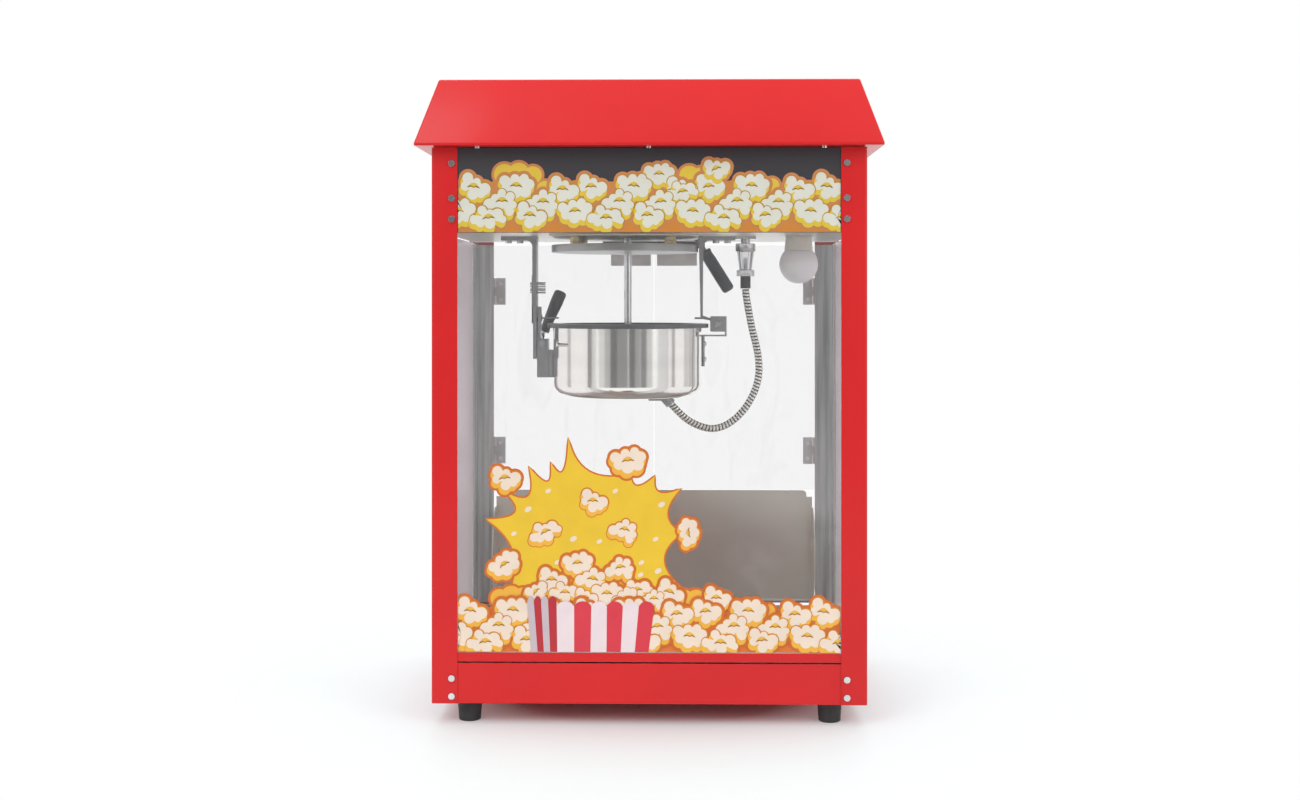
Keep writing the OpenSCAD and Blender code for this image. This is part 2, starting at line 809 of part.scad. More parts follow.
module kettle_gland() {
  color(grey) difference() {
    union() {
      slab(-4, 18, -8.5, 8.5, kettle_z - 6.4, kettle_z);
      translate([gland_p[0], 0, gland_p[1]]) rotate([0, gland_a, 0])
        translate([0, 0, -2]) cylinder(r = 7, h = 14, $fn = 64);
    }
    slab(-50, 60, -20, 20, kettle_z, kettle_z + 12);
    translate([gland_p[0], 0, gland_p[1]]) rotate([0, gland_a, 0])
      translate([0, 0, 8]) cylinder(r = 5.1, h = 30, $fn = 64);
  }
}

// Points a transform's +Z from a to b
module aim(a, b) {
  d = b - a;
  translate(a) rotate([0, acos(d[2] / norm(d)), atan2(d[1], d[0])]) children();
}

// A straight rod of radius r between two points
module strut(a, b, r) {
  aim(a, b) cylinder(r = r, h = norm(b - a), $fn = 48);
}

module tilt_handle_rod() {
  root = [-142.5, 14, 449];
  color(grey) {
    along_y(rod_r, root[0], 10, root[1], root[2]);
    translate(root) sphere(r = bend_r, $fn = 48);
    strut(root, crank, rod_r);
    translate(crank) sphere(r = bend_r, $fn = 48);
    strut(crank, grip_foot + 10.9 * grip_way, rod_r);
  }
}

// Tapered grip along +Z: r0 at the foot, grip_r at the rounded end, a rod hole in the foot
module grip(r0, len, round, hole, depth) {
  difference() {
    rotate_extrude($fn = 96) {
      polygon([[0, 0], [r0, 0], [grip_r, len - round], [0, len - round]]);
      translate([0, len - round - 0.01]) square([grip_r - round, round + 0.01]);
      intersection() {
        translate([grip_r - round, len - round]) circle(r = round, $fn = 64);
        translate([grip_r - round, len - round]) square([round, round]);
      }
    }
    translate([0, 0, -1]) cylinder(r = hole, h = depth + 1, $fn = 48);
  }
}

module tilt_handle_grip() {
  color(black) aim(grip_foot, grip_tip) grip(7, grip_len, 5, 3, 11);
}

// Point i on ring k of the hose: a circle square to the path, which lies in X and Z
function hose_dir(i) =
  let (a = hose[max(i - 1, 0)], b = hose[min(i + 1, len(hose) - 1)], d = b - a) d / norm(d);
function hose_ring(i) = [for (k = [0:hose_n - 1])
  let (t = 360 * k / hose_n, u = hose_dir(i), c = hose_r * cos(t))
    [hose[i][0] + c * u[1], hose_r * sin(t), hose[i][1] - c * u[0]]];

module heater_hose() {
  m = len(hose);
  color(steel) polyhedron(
    points = [for (i = [0:m - 1], p = hose_ring(i)) p],
    faces = concat(
      [[for (k = [0:hose_n - 1]) k]],
      [[for (k = [0:hose_n - 1]) m * hose_n - 1 - k]],
      [for (i = [0:m - 2], k = [0:hose_n - 1])
        let (q = (k + 1) % hose_n)
          [i * hose_n + k, (i + 1) * hose_n + k, (i + 1) * hose_n + q, i * hose_n + q]]));
}

// ---- stirrer and its lift ----

// Round shaft with two flats over its upper length
module flatted(r, flat, z0, z1) {
  intersection() {
    along_z(r, 0, 0, z0, z1);
    slab(-r - 1, r + 1, -flat, flat, z0, z1);
  }
}

module stir_shaft() {
  color(steel) translate([kettle_x, 0, 0]) {
    along_z(shaft_r, 0, 0, 396, collar_z + 5);
    flatted(shaft_r, 4, collar_z + 4.9, 690);
    along_z(9, 0, 0, collar_z, collar_z + 5);
  }
}

module stir_blades() {
  color(steel) translate([kettle_x, 0, 0]) difference() {
    union() {
      along_z(9, 0, 0, 395.2, 410);
      for (a = [0, 180]) rotate([0, 0, a]) {
        slab(5, blade_r, -4, 4, 395.2, 397.2);
        slab(24, blade_r - 2, 3, 5, 395.2, 405);
      }
      for (a = [90, 270]) rotate([0, 0, a])
        slab(5, 46, -3, 3, 398, 400);
    }
    along_z(shaft_r, 0, 0, 395.9, 411);
  }
}

module lift_yoke() {
  color(brass) difference() {
    along_z(11, kettle_x, 0, 606.6, 611);
    along_z(shaft_r + 0.1, kettle_x, 0, 606, 612);
  }
}

module drive_hub() {
  color(brass) difference() {
    translate([kettle_x, 0, 0]) {
      along_z(9, 0, 0, hub_z0, 676);
      along_z(13, 0, 0, 672.4, 676);
    }
    translate([kettle_x, 0, 0]) flatted(shaft_r + 0.05, 4.05, hub_z0 - 1, 677);
    along_z(shaft_r + 0.05, kettle_x, 0, hub_z0 - 1, hub_z0 + 0.5);
  }
}

module lift_lever() {
  x = lever_p[0];
  z = lever_p[1];
  color(grey) difference() {
    union() {
      along_y(7, x, lever_y - 4.5, lever_y + 4.5, z);
      slab(kettle_x - 3.5, x, lever_y - 2, lever_y + 2, z - 3.5, z + 3.5);
      along_y(3, kettle_x, 6.4, lever_y, z);
      translate([x, lever_y, z]) rotate([0, lever_a, 0]) cylinder(r = 3.5, h = 49.8, $fn = 48);
    }
    along_y(3.05, x, lever_y - 6, lever_y + 6, z);
  }
}

module lift_grip() {
  color(black) translate([lever_p[0], lever_y, lever_p[1]]) rotate([0, lever_a, 0])
    translate([0, 0, lift_foot]) grip(grip_r, 63, 2, 3.55, 12.5);
}

// ---- operator side ----

module rocker(x) {
  tilt = 7;
  color(black) difference() {
    translate([x, rocker_y, switch_z]) rotate([tilt, 0, 0])
      translate([-9, 0, 0]) rotate([90, 0, 90]) linear_extrude(18) polygon([
        [-8, -8], [-8, 8], [1, 13.4], [4.6, 13.4], [2.4, 0], [4.6, -13.4], [1, -13.4]]);
    along_x(rocker_pin_r + 0.05, x - 10, x + 10, rocker_y, switch_z);
  }
}

module power_rocker() {
  rocker(switch_x[0]);
}

module heat_rocker() {
  rocker(switch_x[1]);
}

module stir_rocker() {
  rocker(switch_x[2]);
}

module kernel_drawer() {
  t = 1.2;
  y1 = hy - sheet_t + 0.2;
  color(steel) {
    difference() {
      slab(-drawer_x, drawer_x, drawer_y0, y1, drawer_z0, drawer_z1);
      slab(-drawer_x + t, drawer_x - t, drawer_y0 + t, y1 - 0.01, drawer_z0 + t, drawer_z1 + 1);
    }
    slab(-drawer_x - 12, drawer_x + 12, y1, y1 + 1.4, 28, 69);
    slab(-45, 45, y1 + 1, y1 + 16, 48, 49.4);
    slab(-45, 45, y1 + 14.6, y1 + 16, 41, 49);
  }
}

base_pan();
deck_plate();
front_rail();
corner_posts();
post_liners();
left_side_pane();
right_side_pane();
front_pane();
header_panel();
header_shroud();
roof_cover();
ceiling_plate();
hanger_plate();
splash_disc();
disc_standoffs();
left_hanger();
right_hanger();
detent_spring();
connector_socket();
connector_plug();
connector_boot();
lamp_holder();
lamp_body();
lamp_globe();
motor_bridge();
gear_motor();
lever_bracket();
terminal_block();
switch_housings();
mains_gland();
feet();
cabinet_screws();
hinge_post_halves();
flap_pin();
magnet_bar();
kettle_shell();
kettle_pan();
kettle_heater();
kettle_left_arm();
kettle_right_arm();
kettle_fasteners();
kettle_gland();
tilt_handle_rod();
tilt_handle_grip();
heater_hose();
stir_shaft();
stir_blades();
lift_yoke();
drive_hub();
lift_lever();
lift_grip();
left_door_pane();
left_door_hardware();
right_door_pane();
right_door_hardware();
serving_flap();
power_rocker();
heat_rocker();
stir_rocker();
kernel_drawer();
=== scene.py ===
import math

import bpy
import numpy as np
from bpy.props import FloatProperty, FloatVectorProperty, IntProperty, PointerProperty
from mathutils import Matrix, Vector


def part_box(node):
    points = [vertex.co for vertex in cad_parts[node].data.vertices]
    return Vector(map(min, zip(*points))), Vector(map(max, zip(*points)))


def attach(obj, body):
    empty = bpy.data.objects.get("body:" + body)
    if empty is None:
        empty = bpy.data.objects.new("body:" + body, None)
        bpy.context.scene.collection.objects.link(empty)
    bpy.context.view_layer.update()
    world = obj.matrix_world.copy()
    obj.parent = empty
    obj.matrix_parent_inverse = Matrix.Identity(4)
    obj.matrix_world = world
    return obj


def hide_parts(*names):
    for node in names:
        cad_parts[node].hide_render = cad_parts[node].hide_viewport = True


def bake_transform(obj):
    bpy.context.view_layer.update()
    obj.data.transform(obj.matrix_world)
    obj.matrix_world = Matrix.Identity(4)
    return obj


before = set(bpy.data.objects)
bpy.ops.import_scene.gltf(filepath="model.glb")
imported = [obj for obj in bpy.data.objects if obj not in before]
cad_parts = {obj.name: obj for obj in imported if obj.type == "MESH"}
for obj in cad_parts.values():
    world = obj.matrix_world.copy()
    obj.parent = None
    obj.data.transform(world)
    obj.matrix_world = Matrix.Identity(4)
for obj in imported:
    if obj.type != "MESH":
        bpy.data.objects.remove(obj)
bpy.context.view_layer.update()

bl_info = {
    "name": "Countertop Popcorn Machine",
    "version": (1, 0, 0),
    "blender": (4, 5, 0),
    "location": "View3D > Sidebar > Popcorn",
    "description": "Builds the looks of a red countertop popcorn machine around its frame",
    "category": "Object",
}

MM = 0.001  # the frame is in metres, and every size below is in millimetres

POST_X, POST_Y = 259.0, 187.5  # outer faces of the corner posts
POST_W, POST_T = 31.0, 1.5
EAVE_Z = 687.4  # where the eave's screws sit
ROOF_INSET = 26.0  # how far the roof's flat top lies inside its hem
ROOF_HEM, ROOF_RETURN = 3.1, 37.0
SCREW_IN = 24.2  # from a post's outer face to its screws
SCREW_Z = (34, 55.3, 601.6, 626.5, 668)
SCREW_R, SCREW_H = 3.9, 2.2
KETTLE_X = -31.0
KETTLE_R, KETTLE_T, KETTLE_FOOT, KETTLE_TOP, KETTLE_BEND = 97.5, 1.2, 381.0, 473.4, 16.0
PAN_R, PAN_T, PAN_FOOT, PAN_BEND = 91.0, 1.5, 392.0, 12.0
RIM_R, RIM_Z, RIM_LIP = 105.0, 475.0, 5.5
DISC_X, DISC_R, DISC_Z, DISC_T, DISC_RIM, DISC_BORE = -35.0, 95.5, 567.4, 1.2, 9.4, 9.0
GRIP_FOOT, GRIP_TIP = (-144.3, 42.2, 463.5), (-121.6, 49.0, 517.5)
LEVER_PIVOT, LEVER_TURN, LEVER_REACH, LEVER_GRIP = (49.6, 52.0, 603.0), 148.0, 37.5, 63.0
LAMP_X, LAMP_Y = 191.6, 2.5
GLOBE_Z, GLOBE_R, GLOBE_CUT = 552.2, 25.2, 569.4
PLUG_X = 122.3
HOSE_R, HOSE_RIB = 4.1, 0.9  # radius between the ribs, and how far a rib stands out
PANEL_Y = -185.9  # front face of the header panel
PANE_Y = -184.5  # front face of the front pane
INK_STEP = 0.012  # distance from one layer of ink to the next
INK_EDGE = 227.4  # side edge of both prints
BUMP_STEP = 0.003  # distance from one printed bump to the next in the same ink
HEADER_FOOT, PANE_FOOT = 586.0, 86.7  # lower edges of the two prints

# The hose's middle line, sideways and up, from the gland to the boot.
HOSE_ROUTE = np.array(
    [
        [23.5, 371.9], [28, 367], [35.5, 359.4], [45, 350.9], [55, 344.8], [66, 340.4],
        [77, 338.3], [88, 339.5], [98, 343.5], [107.5, 350], [116, 358], [124, 368],
        [130.8, 380], [135.5, 391], [138.5, 402.5], [139.7, 413], [139.5, 424],
        [138.3, 435], [136.1, 446], [133.5, 457], [130.8, 468], [128.6, 479],
        [126.6, 490], [124.8, 500.5], [123.2, 510.5], [122.3, 519.8],
    ]
)


# ---- mesh helpers ----


def put_mesh(name, points, faces, materials, body=None, sharp=None, which=None):
    """A mesh object at the origin from points in millimetres and a list of faces."""
    mesh = bpy.data.meshes.new(name)
    mesh.from_pydata((np.asarray(points, float) * MM).tolist(), [], faces)
    mesh.polygons.foreach_set("use_smooth", np.ones(len(mesh.polygons), bool))
    for m in materials if isinstance(materials, (list, tuple)) else [materials]:
        mesh.materials.append(m)
    if which is not None:
        mesh.polygons.foreach_set("material_index", np.asarray(which, np.int32))
    if sharp is not None:
        mesh.set_sharp_from_angle(angle=math.radians(sharp))
    mesh.update()
    obj = bpy.data.objects.new(name, mesh)
    bpy.context.scene.collection.objects.link(obj)
    if body:
        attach(obj, body)
    return obj


def grid_quads(rows, cols, wrap_rows=False, wrap_cols=True):
    """Quads of a grid of rows by cols points, joined round at the ends where wrapped."""
    r = np.arange(rows if wrap_rows else rows - 1)
    c = np.arange(cols if wrap_cols else cols - 1)
    r, c = [a.ravel() for a in np.meshgrid(r, c, indexing="ij")]
    r1, c1 = (r + 1) % rows, (c + 1) % cols
    return np.stack([r * cols + c, r * cols + c1, r1 * cols + c1, r1 * cols + c], 1)


def fillet(points, radii, steps=6):
    """A polyline whose corners are rounded: each corner is replaced by steps points on the
    arc that touches both of its sides."""
    points = [np.array(p, float) for p in points]
    out = [points[0]]
    for i in range(1, len(points) - 1):
        p, r = points[i], radii[i]
        if r <= 0:
            out.append(p)
            continue
        a = points[i - 1] - p
        b = points[i + 1] - p
        a, b = a / np.linalg.norm(a), b / np.linalg.norm(b)
        half = math.acos(max(-1, min(1, float(a @ b)))) / 2
        reach = r / math.tan(half)
        centre = p + (a + b) / np.linalg.norm(a + b) * r / math.sin(half)
        u, v = p + a * reach - centre, p + b * reach - centre
        turn = math.acos(max(-1, min(1, float(u @ v) / r**2)))
        t = np.linspace(0, 1, steps)[:, None]
        s = math.sin(turn)
        out.extend(centre + (np.sin((1 - t) * turn) * u + np.sin(t * turn) * v) / s)
    out.append(points[-1])
    return np.array(out)


def turned(profile, sides):
    """Rings of a profile (radius, height) turned about Z: (r cos t, r sin t, h)."""
    t = np.arange(sides) * 2 * np.pi / sides
    r, h = profile[:, :1], np.repeat(profile[:, 1:], sides, 1)
    return np.stack([r * np.cos(t), r * np.sin(t), h], 2).reshape(-1, 3)


def pole_fans(rows, sides):
    """Triangles from two poles, which follow the last ring, to the first and the last ring."""
    k = np.arange(sides)
    pole, last, nxt = np.full(sides, rows * sides), (rows - 1) * sides, (k + 1) % sides
    fans = np.stack([pole, nxt, k], 1), np.stack([pole + 1, last + k, last + nxt], 1)
    return np.concatenate(fans).tolist()


def lathe(profile, sides=96):
    """Points and faces of a profile turned about Z. Its first and last points lie on the axis
    and become poles; the rest become rings."""
    profile = np.asarray(profile, float)
    rows = len(profile) - 2
    poles = [[0, 0, profile[0, 1]], [0, 0, profile[-1, 1]]]
    faces = grid_quads(rows, sides).tolist() + pole_fans(rows, sides)
    return np.vstack([turned(profile[1:-1], sides), poles]), faces


def torus_lathe(profile, sides=96):
    """Points and faces of a closed profile, none of it on the axis, turned about Z."""
    profile = np.asarray(profile, float)
    return turned(profile, sides), grid_quads(len(profile), sides, wrap_rows=True).tolist()


def aim(points, start, direction):
    """Points made along +Z, turned to lie along a direction and moved to a start."""
    d = np.asarray(direction, float)
    d = d / np.linalg.norm(d)
    side = np.cross([0.0, 1.0, 0.0], d)
    side = side / np.linalg.norm(side)
    other = np.cross(d, side)
    turn = np.stack([side, other, d])
    return np.asarray(points) @ turn + np.asarray(start, float)


def outward(obj):
    """Faces of a closed mesh turned to point outwards: if its signed volume is negative, all
    of its faces are turned over."""
    mesh = obj.data
    co = np.zeros(len(mesh.vertices) * 3)
    mesh.vertices.foreach_get("co", co)
    co = co.reshape(-1, 3)
    mesh.calc_loop_triangles()
    tri = np.zeros(len(mesh.loop_triangles) * 3, np.int32)
    mesh.loop_triangles.foreach_get("vertices", tri)
    a, b, c = co[tri.reshape(-1, 3)].transpose(1, 0, 2)
    if np.einsum("ij,ij->i", a, np.cross(b, c)).sum() < 0:
        mesh.flip_normals()
    return obj


def stand_in(node, name, pts, faces, finish, body, slot, sharp, which=None):
    """A closed mesh in one or more finishes that rides a body and replaces a frame's node."""
    finishes = [finish] if isinstance(finish, str) else finish
    materials = [MATERIALS[key] for key in finishes]
    obj = outward(put_mesh(name, pts, faces, materials, body, sharp, which))
    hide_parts(node)
    return obj


# ---- materials ----


def ink_colour(c):
    """An sRGB colour from 0 to 255 as linear numbers."""
    s = np.array(c, float) / 255
    return tuple(np.where(s <= 0.04045, s / 12.92, ((s + 0.055) / 1.055) ** 2.4)) + (1.0,)


def blank(data):
    """The emptied node tree of a new material or world."""
    data.use_nodes = True
    data.node_tree.nodes.clear()
    return data.node_tree


def plug(tree, socket, value):
    """A socket set to a value, or fed by it where it is another node's output."""
    if isinstance(value, bpy.types.NodeSocket):
        tree.links.new(value, socket)
    else:
        socket.default_value = value


def add(tree, kind, *first, operation=None, **named):
    """A shader node whose sockets are set or fed in their order, then by name."""
    node = tree.nodes.new("ShaderNode" + kind)
    if operation:
        node.operation = operation
    for key, value in (*enumerate(first), *named.items()):
        plug(tree, node.inputs[key.replace("_", " ") if isinstance(key, str) else key], value)
    return node


def noise(tree, scale, stretch=(1, 1, 1), detail=4.0, distortion=0.0):
    """Noise over object coordinates, stretched along the axes."""
    place = add(tree, "Mapping", add(tree, "TexCoord").outputs["Object"], Scale=stretch)
    looks = dict(Scale=scale, Detail=detail, Distortion=distortion)
    return add(tree, "TexNoise", place.outputs[0], **looks).outputs["Fac"]


def spread(tree, value, low, high, a=0.3, b=0.7):
    """A value's stretch from a to b mapped to the stretch from low to high."""
    return add(tree, "MapRange", value, a, b, low, high).outputs[0]


def mixed(tree, factor, a, b):
    """Two colours mixed by a factor."""
    node = add(tree, "Mix", factor)
    node.data_type = "RGBA"
    plug(tree, node.inputs[6], a)
    plug(tree, node.inputs[7], b)
    return node.outputs[2]


def finish_material(
    name, colour, shade=None, rough=(0.35, 0.45), metal=0.0, patch=12.0, patch_stretch=(1, 1, 1),
    grain=900.0, grain_stretch=(1, 1, 1), depth=0.00002, worn=None, round_edge=0.0, groove_shade=None,
    fade=None, **sockets,
):
    """A surface with a slow change of colour, a fine grain in its roughness and relief,
    rounded edges, and where worn is given, a paler colour along them in broken patches;
    where a groove shade colour is given, painted shade: the mesh's groove attribute darkens
    the colour towards it in the bottoms of the grooves; where fade is given, the surface
    clears between those two distances from its middle."""
    mat = bpy.data.materials.new(name)
    tree = blank(mat)
    shade = shade or tuple(0.86 * c for c in colour[:3]) + (1.0,)
    base = mixed(tree, spread(tree, noise(tree, patch, patch_stretch), 0.0, 1.0), colour, shade)
    fine = noise(tree, grain, grain_stretch, 2.0)
    bump = add(tree, "Bump", Strength=0.6, Distance=depth, Height=fine)
    if round_edge > 0:
        bevel = add(tree, "Bevel", round_edge)
        bevel.samples = 3
        plug(tree, bump.inputs["Normal"], bevel.outputs[0])
        if worn:
            flat = add(tree, "NewGeometry").outputs["Normal"]
            dot = add(tree, "VectorMath", bevel.outputs[0], flat, operation="DOT_PRODUCT")
            edge = spread(tree, dot.outputs["Value"], 1.0, 0.0, 0.86, 0.97)
            broken = spread(tree, noise(tree, 70.0), 0.0, 1.0, 0.5, 0.62)
            both = add(tree, "Math", edge, broken, operation="MULTIPLY")
            base = mixed(tree, both.outputs[0], base, worn)
    if fade:
        where = add(tree, "TexCoord").outputs["Object"]
        far = add(tree, "VectorMath", where, operation="LENGTH").outputs["Value"]
        sockets["Alpha"] = spread(tree, far, 1.0, 0.0, *fade)
    # painted shade: the colour is darkened towards a nearly black one in the bottoms of the grooves
    if groove_shade:
        shaded_groove = add(tree, "Attribute")
        shaded_groove.attribute_name = "groove"
        base = mixed(tree, spread(tree, shaded_groove.outputs["Fac"], 1.0, 0.0, 0.55, 0.96), base, groove_shade)
    shader = add(
        tree, "BsdfPrincipled", base, Metallic=metal, Roughness=spread(tree, fine, *rough),
        Normal=bump.outputs[0], **sockets,
    )
    add(tree, "OutputMaterial", shader.outputs[0])
    return mat


def clear_material(name, colour, face_on, edge_on, streak=0.03, stretch=(1, 1, 1), rough=0.04):
    """Clear sheet: nearly see-through face-on, more of it showing towards grazing angles,
    with faint handling streaks in its haze and its relief."""
    mat = bpy.data.materials.new(name)
    tree = blank(mat)
    cloud = noise(tree, 14.0, stretch, 5.0, 1.4)
    slant = add(tree, "LayerWeight", 0.25).outputs["Fresnel"]
    grade = spread(tree, slant, face_on, edge_on, 0.0, 1.0)
    haze = spread(tree, cloud, 0.0, streak, 0.55, 0.75)
    alpha = add(tree, "Math", grade, haze, operation="ADD").outputs[0]
    bump = add(tree, "Bump", Strength=0.15, Distance=0.0002, Height=cloud).outputs[0]
    shader = add(tree, "BsdfPrincipled", colour, Roughness=rough, Alpha=alpha, Normal=bump)
    add(tree, "OutputMaterial", shader.outputs[0])
    return mat


def make_materials(s):
    """Every finish of the machine, by name."""
    red = tuple(s.paint) + (1.0,)
    deep_red = tuple(c * 0.9 for c in s.paint) + (1.0,)
    m = {}
    m["paint"] = finish_material(
        "gloss_red_enamel", red, deep_red, (0.29, 0.33), patch=5.0, grain=300.0, depth=0.000001,
        worn=(0.75, 0.16, 0.12, 1), round_edge=0.0009, Coat_Weight=0.1, Coat_Roughness=0.15,
        Specular_IOR_Level=0.32,
    )
    m["kettle_steel"] = finish_material(
        "brushed_kettle_steel", (0.86, 0.845, 0.815, 1), (0.80, 0.785, 0.755, 1), (0.09, 0.15), 1.0,
        patch=6.0, patch_stretch=(1, 1, 14), grain=260.0, grain_stretch=(0.25, 0.25, 9.0),
        depth=0.000004,
    )
    m["rim"] = finish_material(
        "coated_rim_edge", (0.105, 0.10, 0.105, 1), (0.065, 0.065, 0.07, 1), (0.28, 0.4), 0.5,
        patch=50.0, grain=900.0, depth=0.00002,
    )
    m["sheet_steel"] = finish_material(
        "satin_stainless_sheet", (0.74, 0.72, 0.65, 1), (0.62, 0.595, 0.54, 1), (0.3, 0.42), 0.85,
        patch=4.0, grain=240.0, grain_stretch=(0.3, 8.0, 8.0), depth=0.00001,
        worn=(0.8, 0.79, 0.77, 1), round_edge=0.0006,
    )
    m["disc_steel"] = finish_material(
        "dull_disc_steel", (0.40, 0.39, 0.39, 1), (0.31, 0.305, 0.305, 1), (0.3, 0.42), 0.85,
        patch=12.0, grain=240.0, grain_stretch=(0.3, 8.0, 8.0), depth=0.00001,
        worn=(0.7, 0.69, 0.68, 1), round_edge=0.0005,
    )
    m["galvanised"] = finish_material(
        "galvanised_sheet", (0.88, 0.90, 0.90, 1), (0.34, 0.365, 0.37, 1), (0.3, 0.46), 0.3,
        patch=38.0, patch_stretch=(3, 3, 0.10), grain=180.0, grain_stretch=(3, 3, 0.6),
        depth=0.00004, worn=(0.62, 0.63, 0.63, 1), round_edge=0.0005,
    )
    m["bracket"] = finish_material(
        "zinc_plated_bracket", (0.40, 0.40, 0.405, 1), (0.29, 0.29, 0.30, 1), (0.3, 0.46), 0.6,
        patch=30.0, grain=500.0, grain_stretch=(1, 1, 0.3), depth=0.00003,
        worn=(0.66, 0.66, 0.66, 1), round_edge=0.0008,
    )
    m["chrome"] = finish_material(
        "bright_plated_steel", (0.74, 0.74, 0.745, 1), (0.62, 0.62, 0.63, 1), (0.12, 0.24), 1.0,
        patch=60.0, grain=700.0, depth=0.00001, round_edge=0.0003,
    )
    m["brass"] = finish_material(
        "dull_brass", (0.85, 0.66, 0.34, 1), (0.62, 0.48, 0.26, 1), (0.16, 0.3), 0.85,
        patch=45.0, grain=600.0, depth=0.00002, worn=(0.78, 0.68, 0.45, 1), round_edge=0.0005,
    )
    m["hinge"] = finish_material(
        "nickelled_hinge", (0.98, 0.95, 0.92, 1), (0.78, 0.76, 0.74, 1), (0.28, 0.42), 0.12,
        patch=40.0, grain=500.0, depth=0.00003, worn=(0.72, 0.69, 0.62, 1), round_edge=0.0005,
    )
    # The conduit's groove colour is painted shade, nearly black at the bottoms of its grooves.
    m["conduit"] = finish_material(
        "steel_conduit", (0.92, 0.90, 0.85, 1), (0.80, 0.78, 0.73, 1), (0.2, 0.3), 0.7,
        patch=50.0, grain=700.0, depth=0.00002, groove_shade=(0.02, 0.018, 0.016, 1),
    )
    m["coating"] = finish_material(
        "dark_pan_coating", (0.045, 0.044, 0.046, 1), (0.09, 0.088, 0.088, 1), (0.3, 0.5),
        0.15, patch=60.0, grain=1200.0, depth=0.00004,
    )
    m["black_plastic"] = finish_material(
        "black_moulded_plastic", (0.02, 0.02, 0.023, 1), (0.075, 0.075, 0.082, 1), (0.24, 0.42),
        patch=34.0, patch_stretch=(2.5, 1, 1), grain=900.0, depth=0.00003,
        worn=(0.09, 0.09, 0.095, 1), round_edge=0.0006,
    )
    m["rubber"] = finish_material(
        "foot_rubber", (0.016, 0.016, 0.018, 1), (0.035, 0.034, 0.034, 1), (0.5, 0.75),
        patch=50.0, grain=800.0, depth=0.00006, round_edge=0.0008,
    )
    m["black_panel"] = finish_material(
        "black_header_panel", (0.040, 0.039, 0.044, 1), (0.052, 0.05, 0.056, 1), (0.3, 0.38),
        patch=3.0, grain=420.0, depth=0.00001,
    )
    m["cream"] = finish_material(
        "cream_insulator", (0.84, 0.81, 0.74, 1), (0.76, 0.72, 0.64, 1), (0.3, 0.45),
        patch=25.0, grain=700.0, depth=0.00002, round_edge=0.0005,
    )
    m["lamp_white"] = finish_material(
        "frosted_lamp_globe", (1.0, 0.975, 1.0, 1), (0.97, 0.94, 0.98, 1), (0.3, 0.4),
        patch=14.0, grain=1500.0, depth=0.00001, Subsurface_Weight=0.25,
    )
    m["switch_red"] = finish_material(
        "red_rocker_plastic", (0.5, 0.02, 0.02, 1), None, (0.2, 0.3), patch=20.0, grain=900.0,
        depth=0.00002, round_edge=0.0006,
    )
    m["pane"] = clear_material("clear_front_pane", (0.93, 0.94, 0.95, 1), 0.03, 0.6, 0.03)
    m["side_pane"] = clear_material(
        "milky_side_pane", (1.0, 0.895, 0.93, 1), 0.10, 1.0, 0.05, (1, 1, 0.3), 0.25
    )
    m["door_pane"] = clear_material(
        "clear_door_sheet", (0.95, 0.93, 0.99, 1), 0.07, 0.5, 0.035, (2.2, 1, 0.6), 0.06
    )
    return m


def ink(name, colour, rough=0.32):
    """Flat printing ink with a faint change of density and a fine screen grain."""
    c = ink_colour(colour)
    return finish_material(
        name, c, tuple(0.93 * x for x in c[:3]) + (1.0,), (rough, rough + 0.08),
        patch=40.0, grain=1500.0, depth=0.000004, Specular_IOR_Level=0.35,
    )


MATERIALS = {}
INKS = {}


# Flags seen only in reflections: angle from straight ahead, width in degrees, tone.
FLAGS = (
    (-97, 8, 0.55), (-57, 7, 0.10), (-38, 9, 0.74), (-29.5, 9, 0.45), (-20, 10, 0.08), (-7, 16, 0.22),
    (6.6, 9, 0.08), (15, 8, 0.30), (24, 9, 0.16), (33, 9, 0.62), (73, 6, 0.35),
    (100, 10, 0.65), (116, 20, 0.55),
)
FLAG_DISTANCE, FLAG_HEIGHTS = 1700, (60, 1900)
# Each ink's name and its colour, red, green and blue from 0 to 255. The header's inks are the pane's
# print colours made darker and greener: painted shade from the roof over the header.
INK_TONES = {
    "header_halo": ("ink_header_outline_shaded", (204, 134, 84)),
    "header_orange": ("ink_header_orange_shaded", (208, 134, 58)),
    "header_line": ("ink_header_line_shaded", (186, 142, 44)),
    "header_yellow": ("ink_header_butter_shaded", (224, 194, 66)),
    "header_cream": ("ink_header_cream_shaded", (222, 222, 208)),
    "header_mark": ("ink_header_mark_shaded", (166, 122, 40)),
    "header_curl": ("ink_header_curl_shaded", (220, 190, 76)),
    "pane_halo": ("ink_pane_outline", (216, 112, 46)),
    "pane_orange": ("ink_pane_orange", (232, 124, 56)),
    "pane_line": ("ink_pane_line", (214, 136, 44)),
    "pane_yellow": ("ink_pane_butter", (246, 184, 68)),
    "pane_cream": ("ink_pane_cream", (246, 226, 206)),
    "pane_mark": ("ink_pane_mark", (196, 120, 44)),
    "pane_curl": ("ink_pane_curl", (242, 190, 82)),
    "gold": ("ink_gold", (242, 200, 54)),
    "stripe_red": ("ink_stripe_red", (222, 62, 76)),
    "stripe_white": ("ink_stripe_white", (242, 224, 226)),
    "side_red": ("ink_side_red", (192, 50, 60)),
    "side_white": ("ink_side_white", (206, 190, 196)),
}


# ---- settings ----


class PopcornFinish(bpy.types.PropertyGroup):
    paint: FloatVectorProperty(
        name="Paint", description="Colour of the red enamel", subtype="COLOR", size=3,
        default=(0.72, 0.012, 0.014), min=0, max=1,
    )
    hose_pitch: FloatProperty(
        name="Hose rib pitch", description="Distance between two ribs of the steel hose",
        default=0.0044, min=0.002, max=0.006, unit="LENGTH",
    )


class PopcornPrint(bpy.types.PropertyGroup):
    seed: IntProperty(
        name="Arrangement", description="Which small differences the flakes have", default=4
    )
    jitter: FloatProperty(
        name="Turn", description="Largest turn of a printed flake, in degrees", default=7.0,
        min=0, max=30,
    )


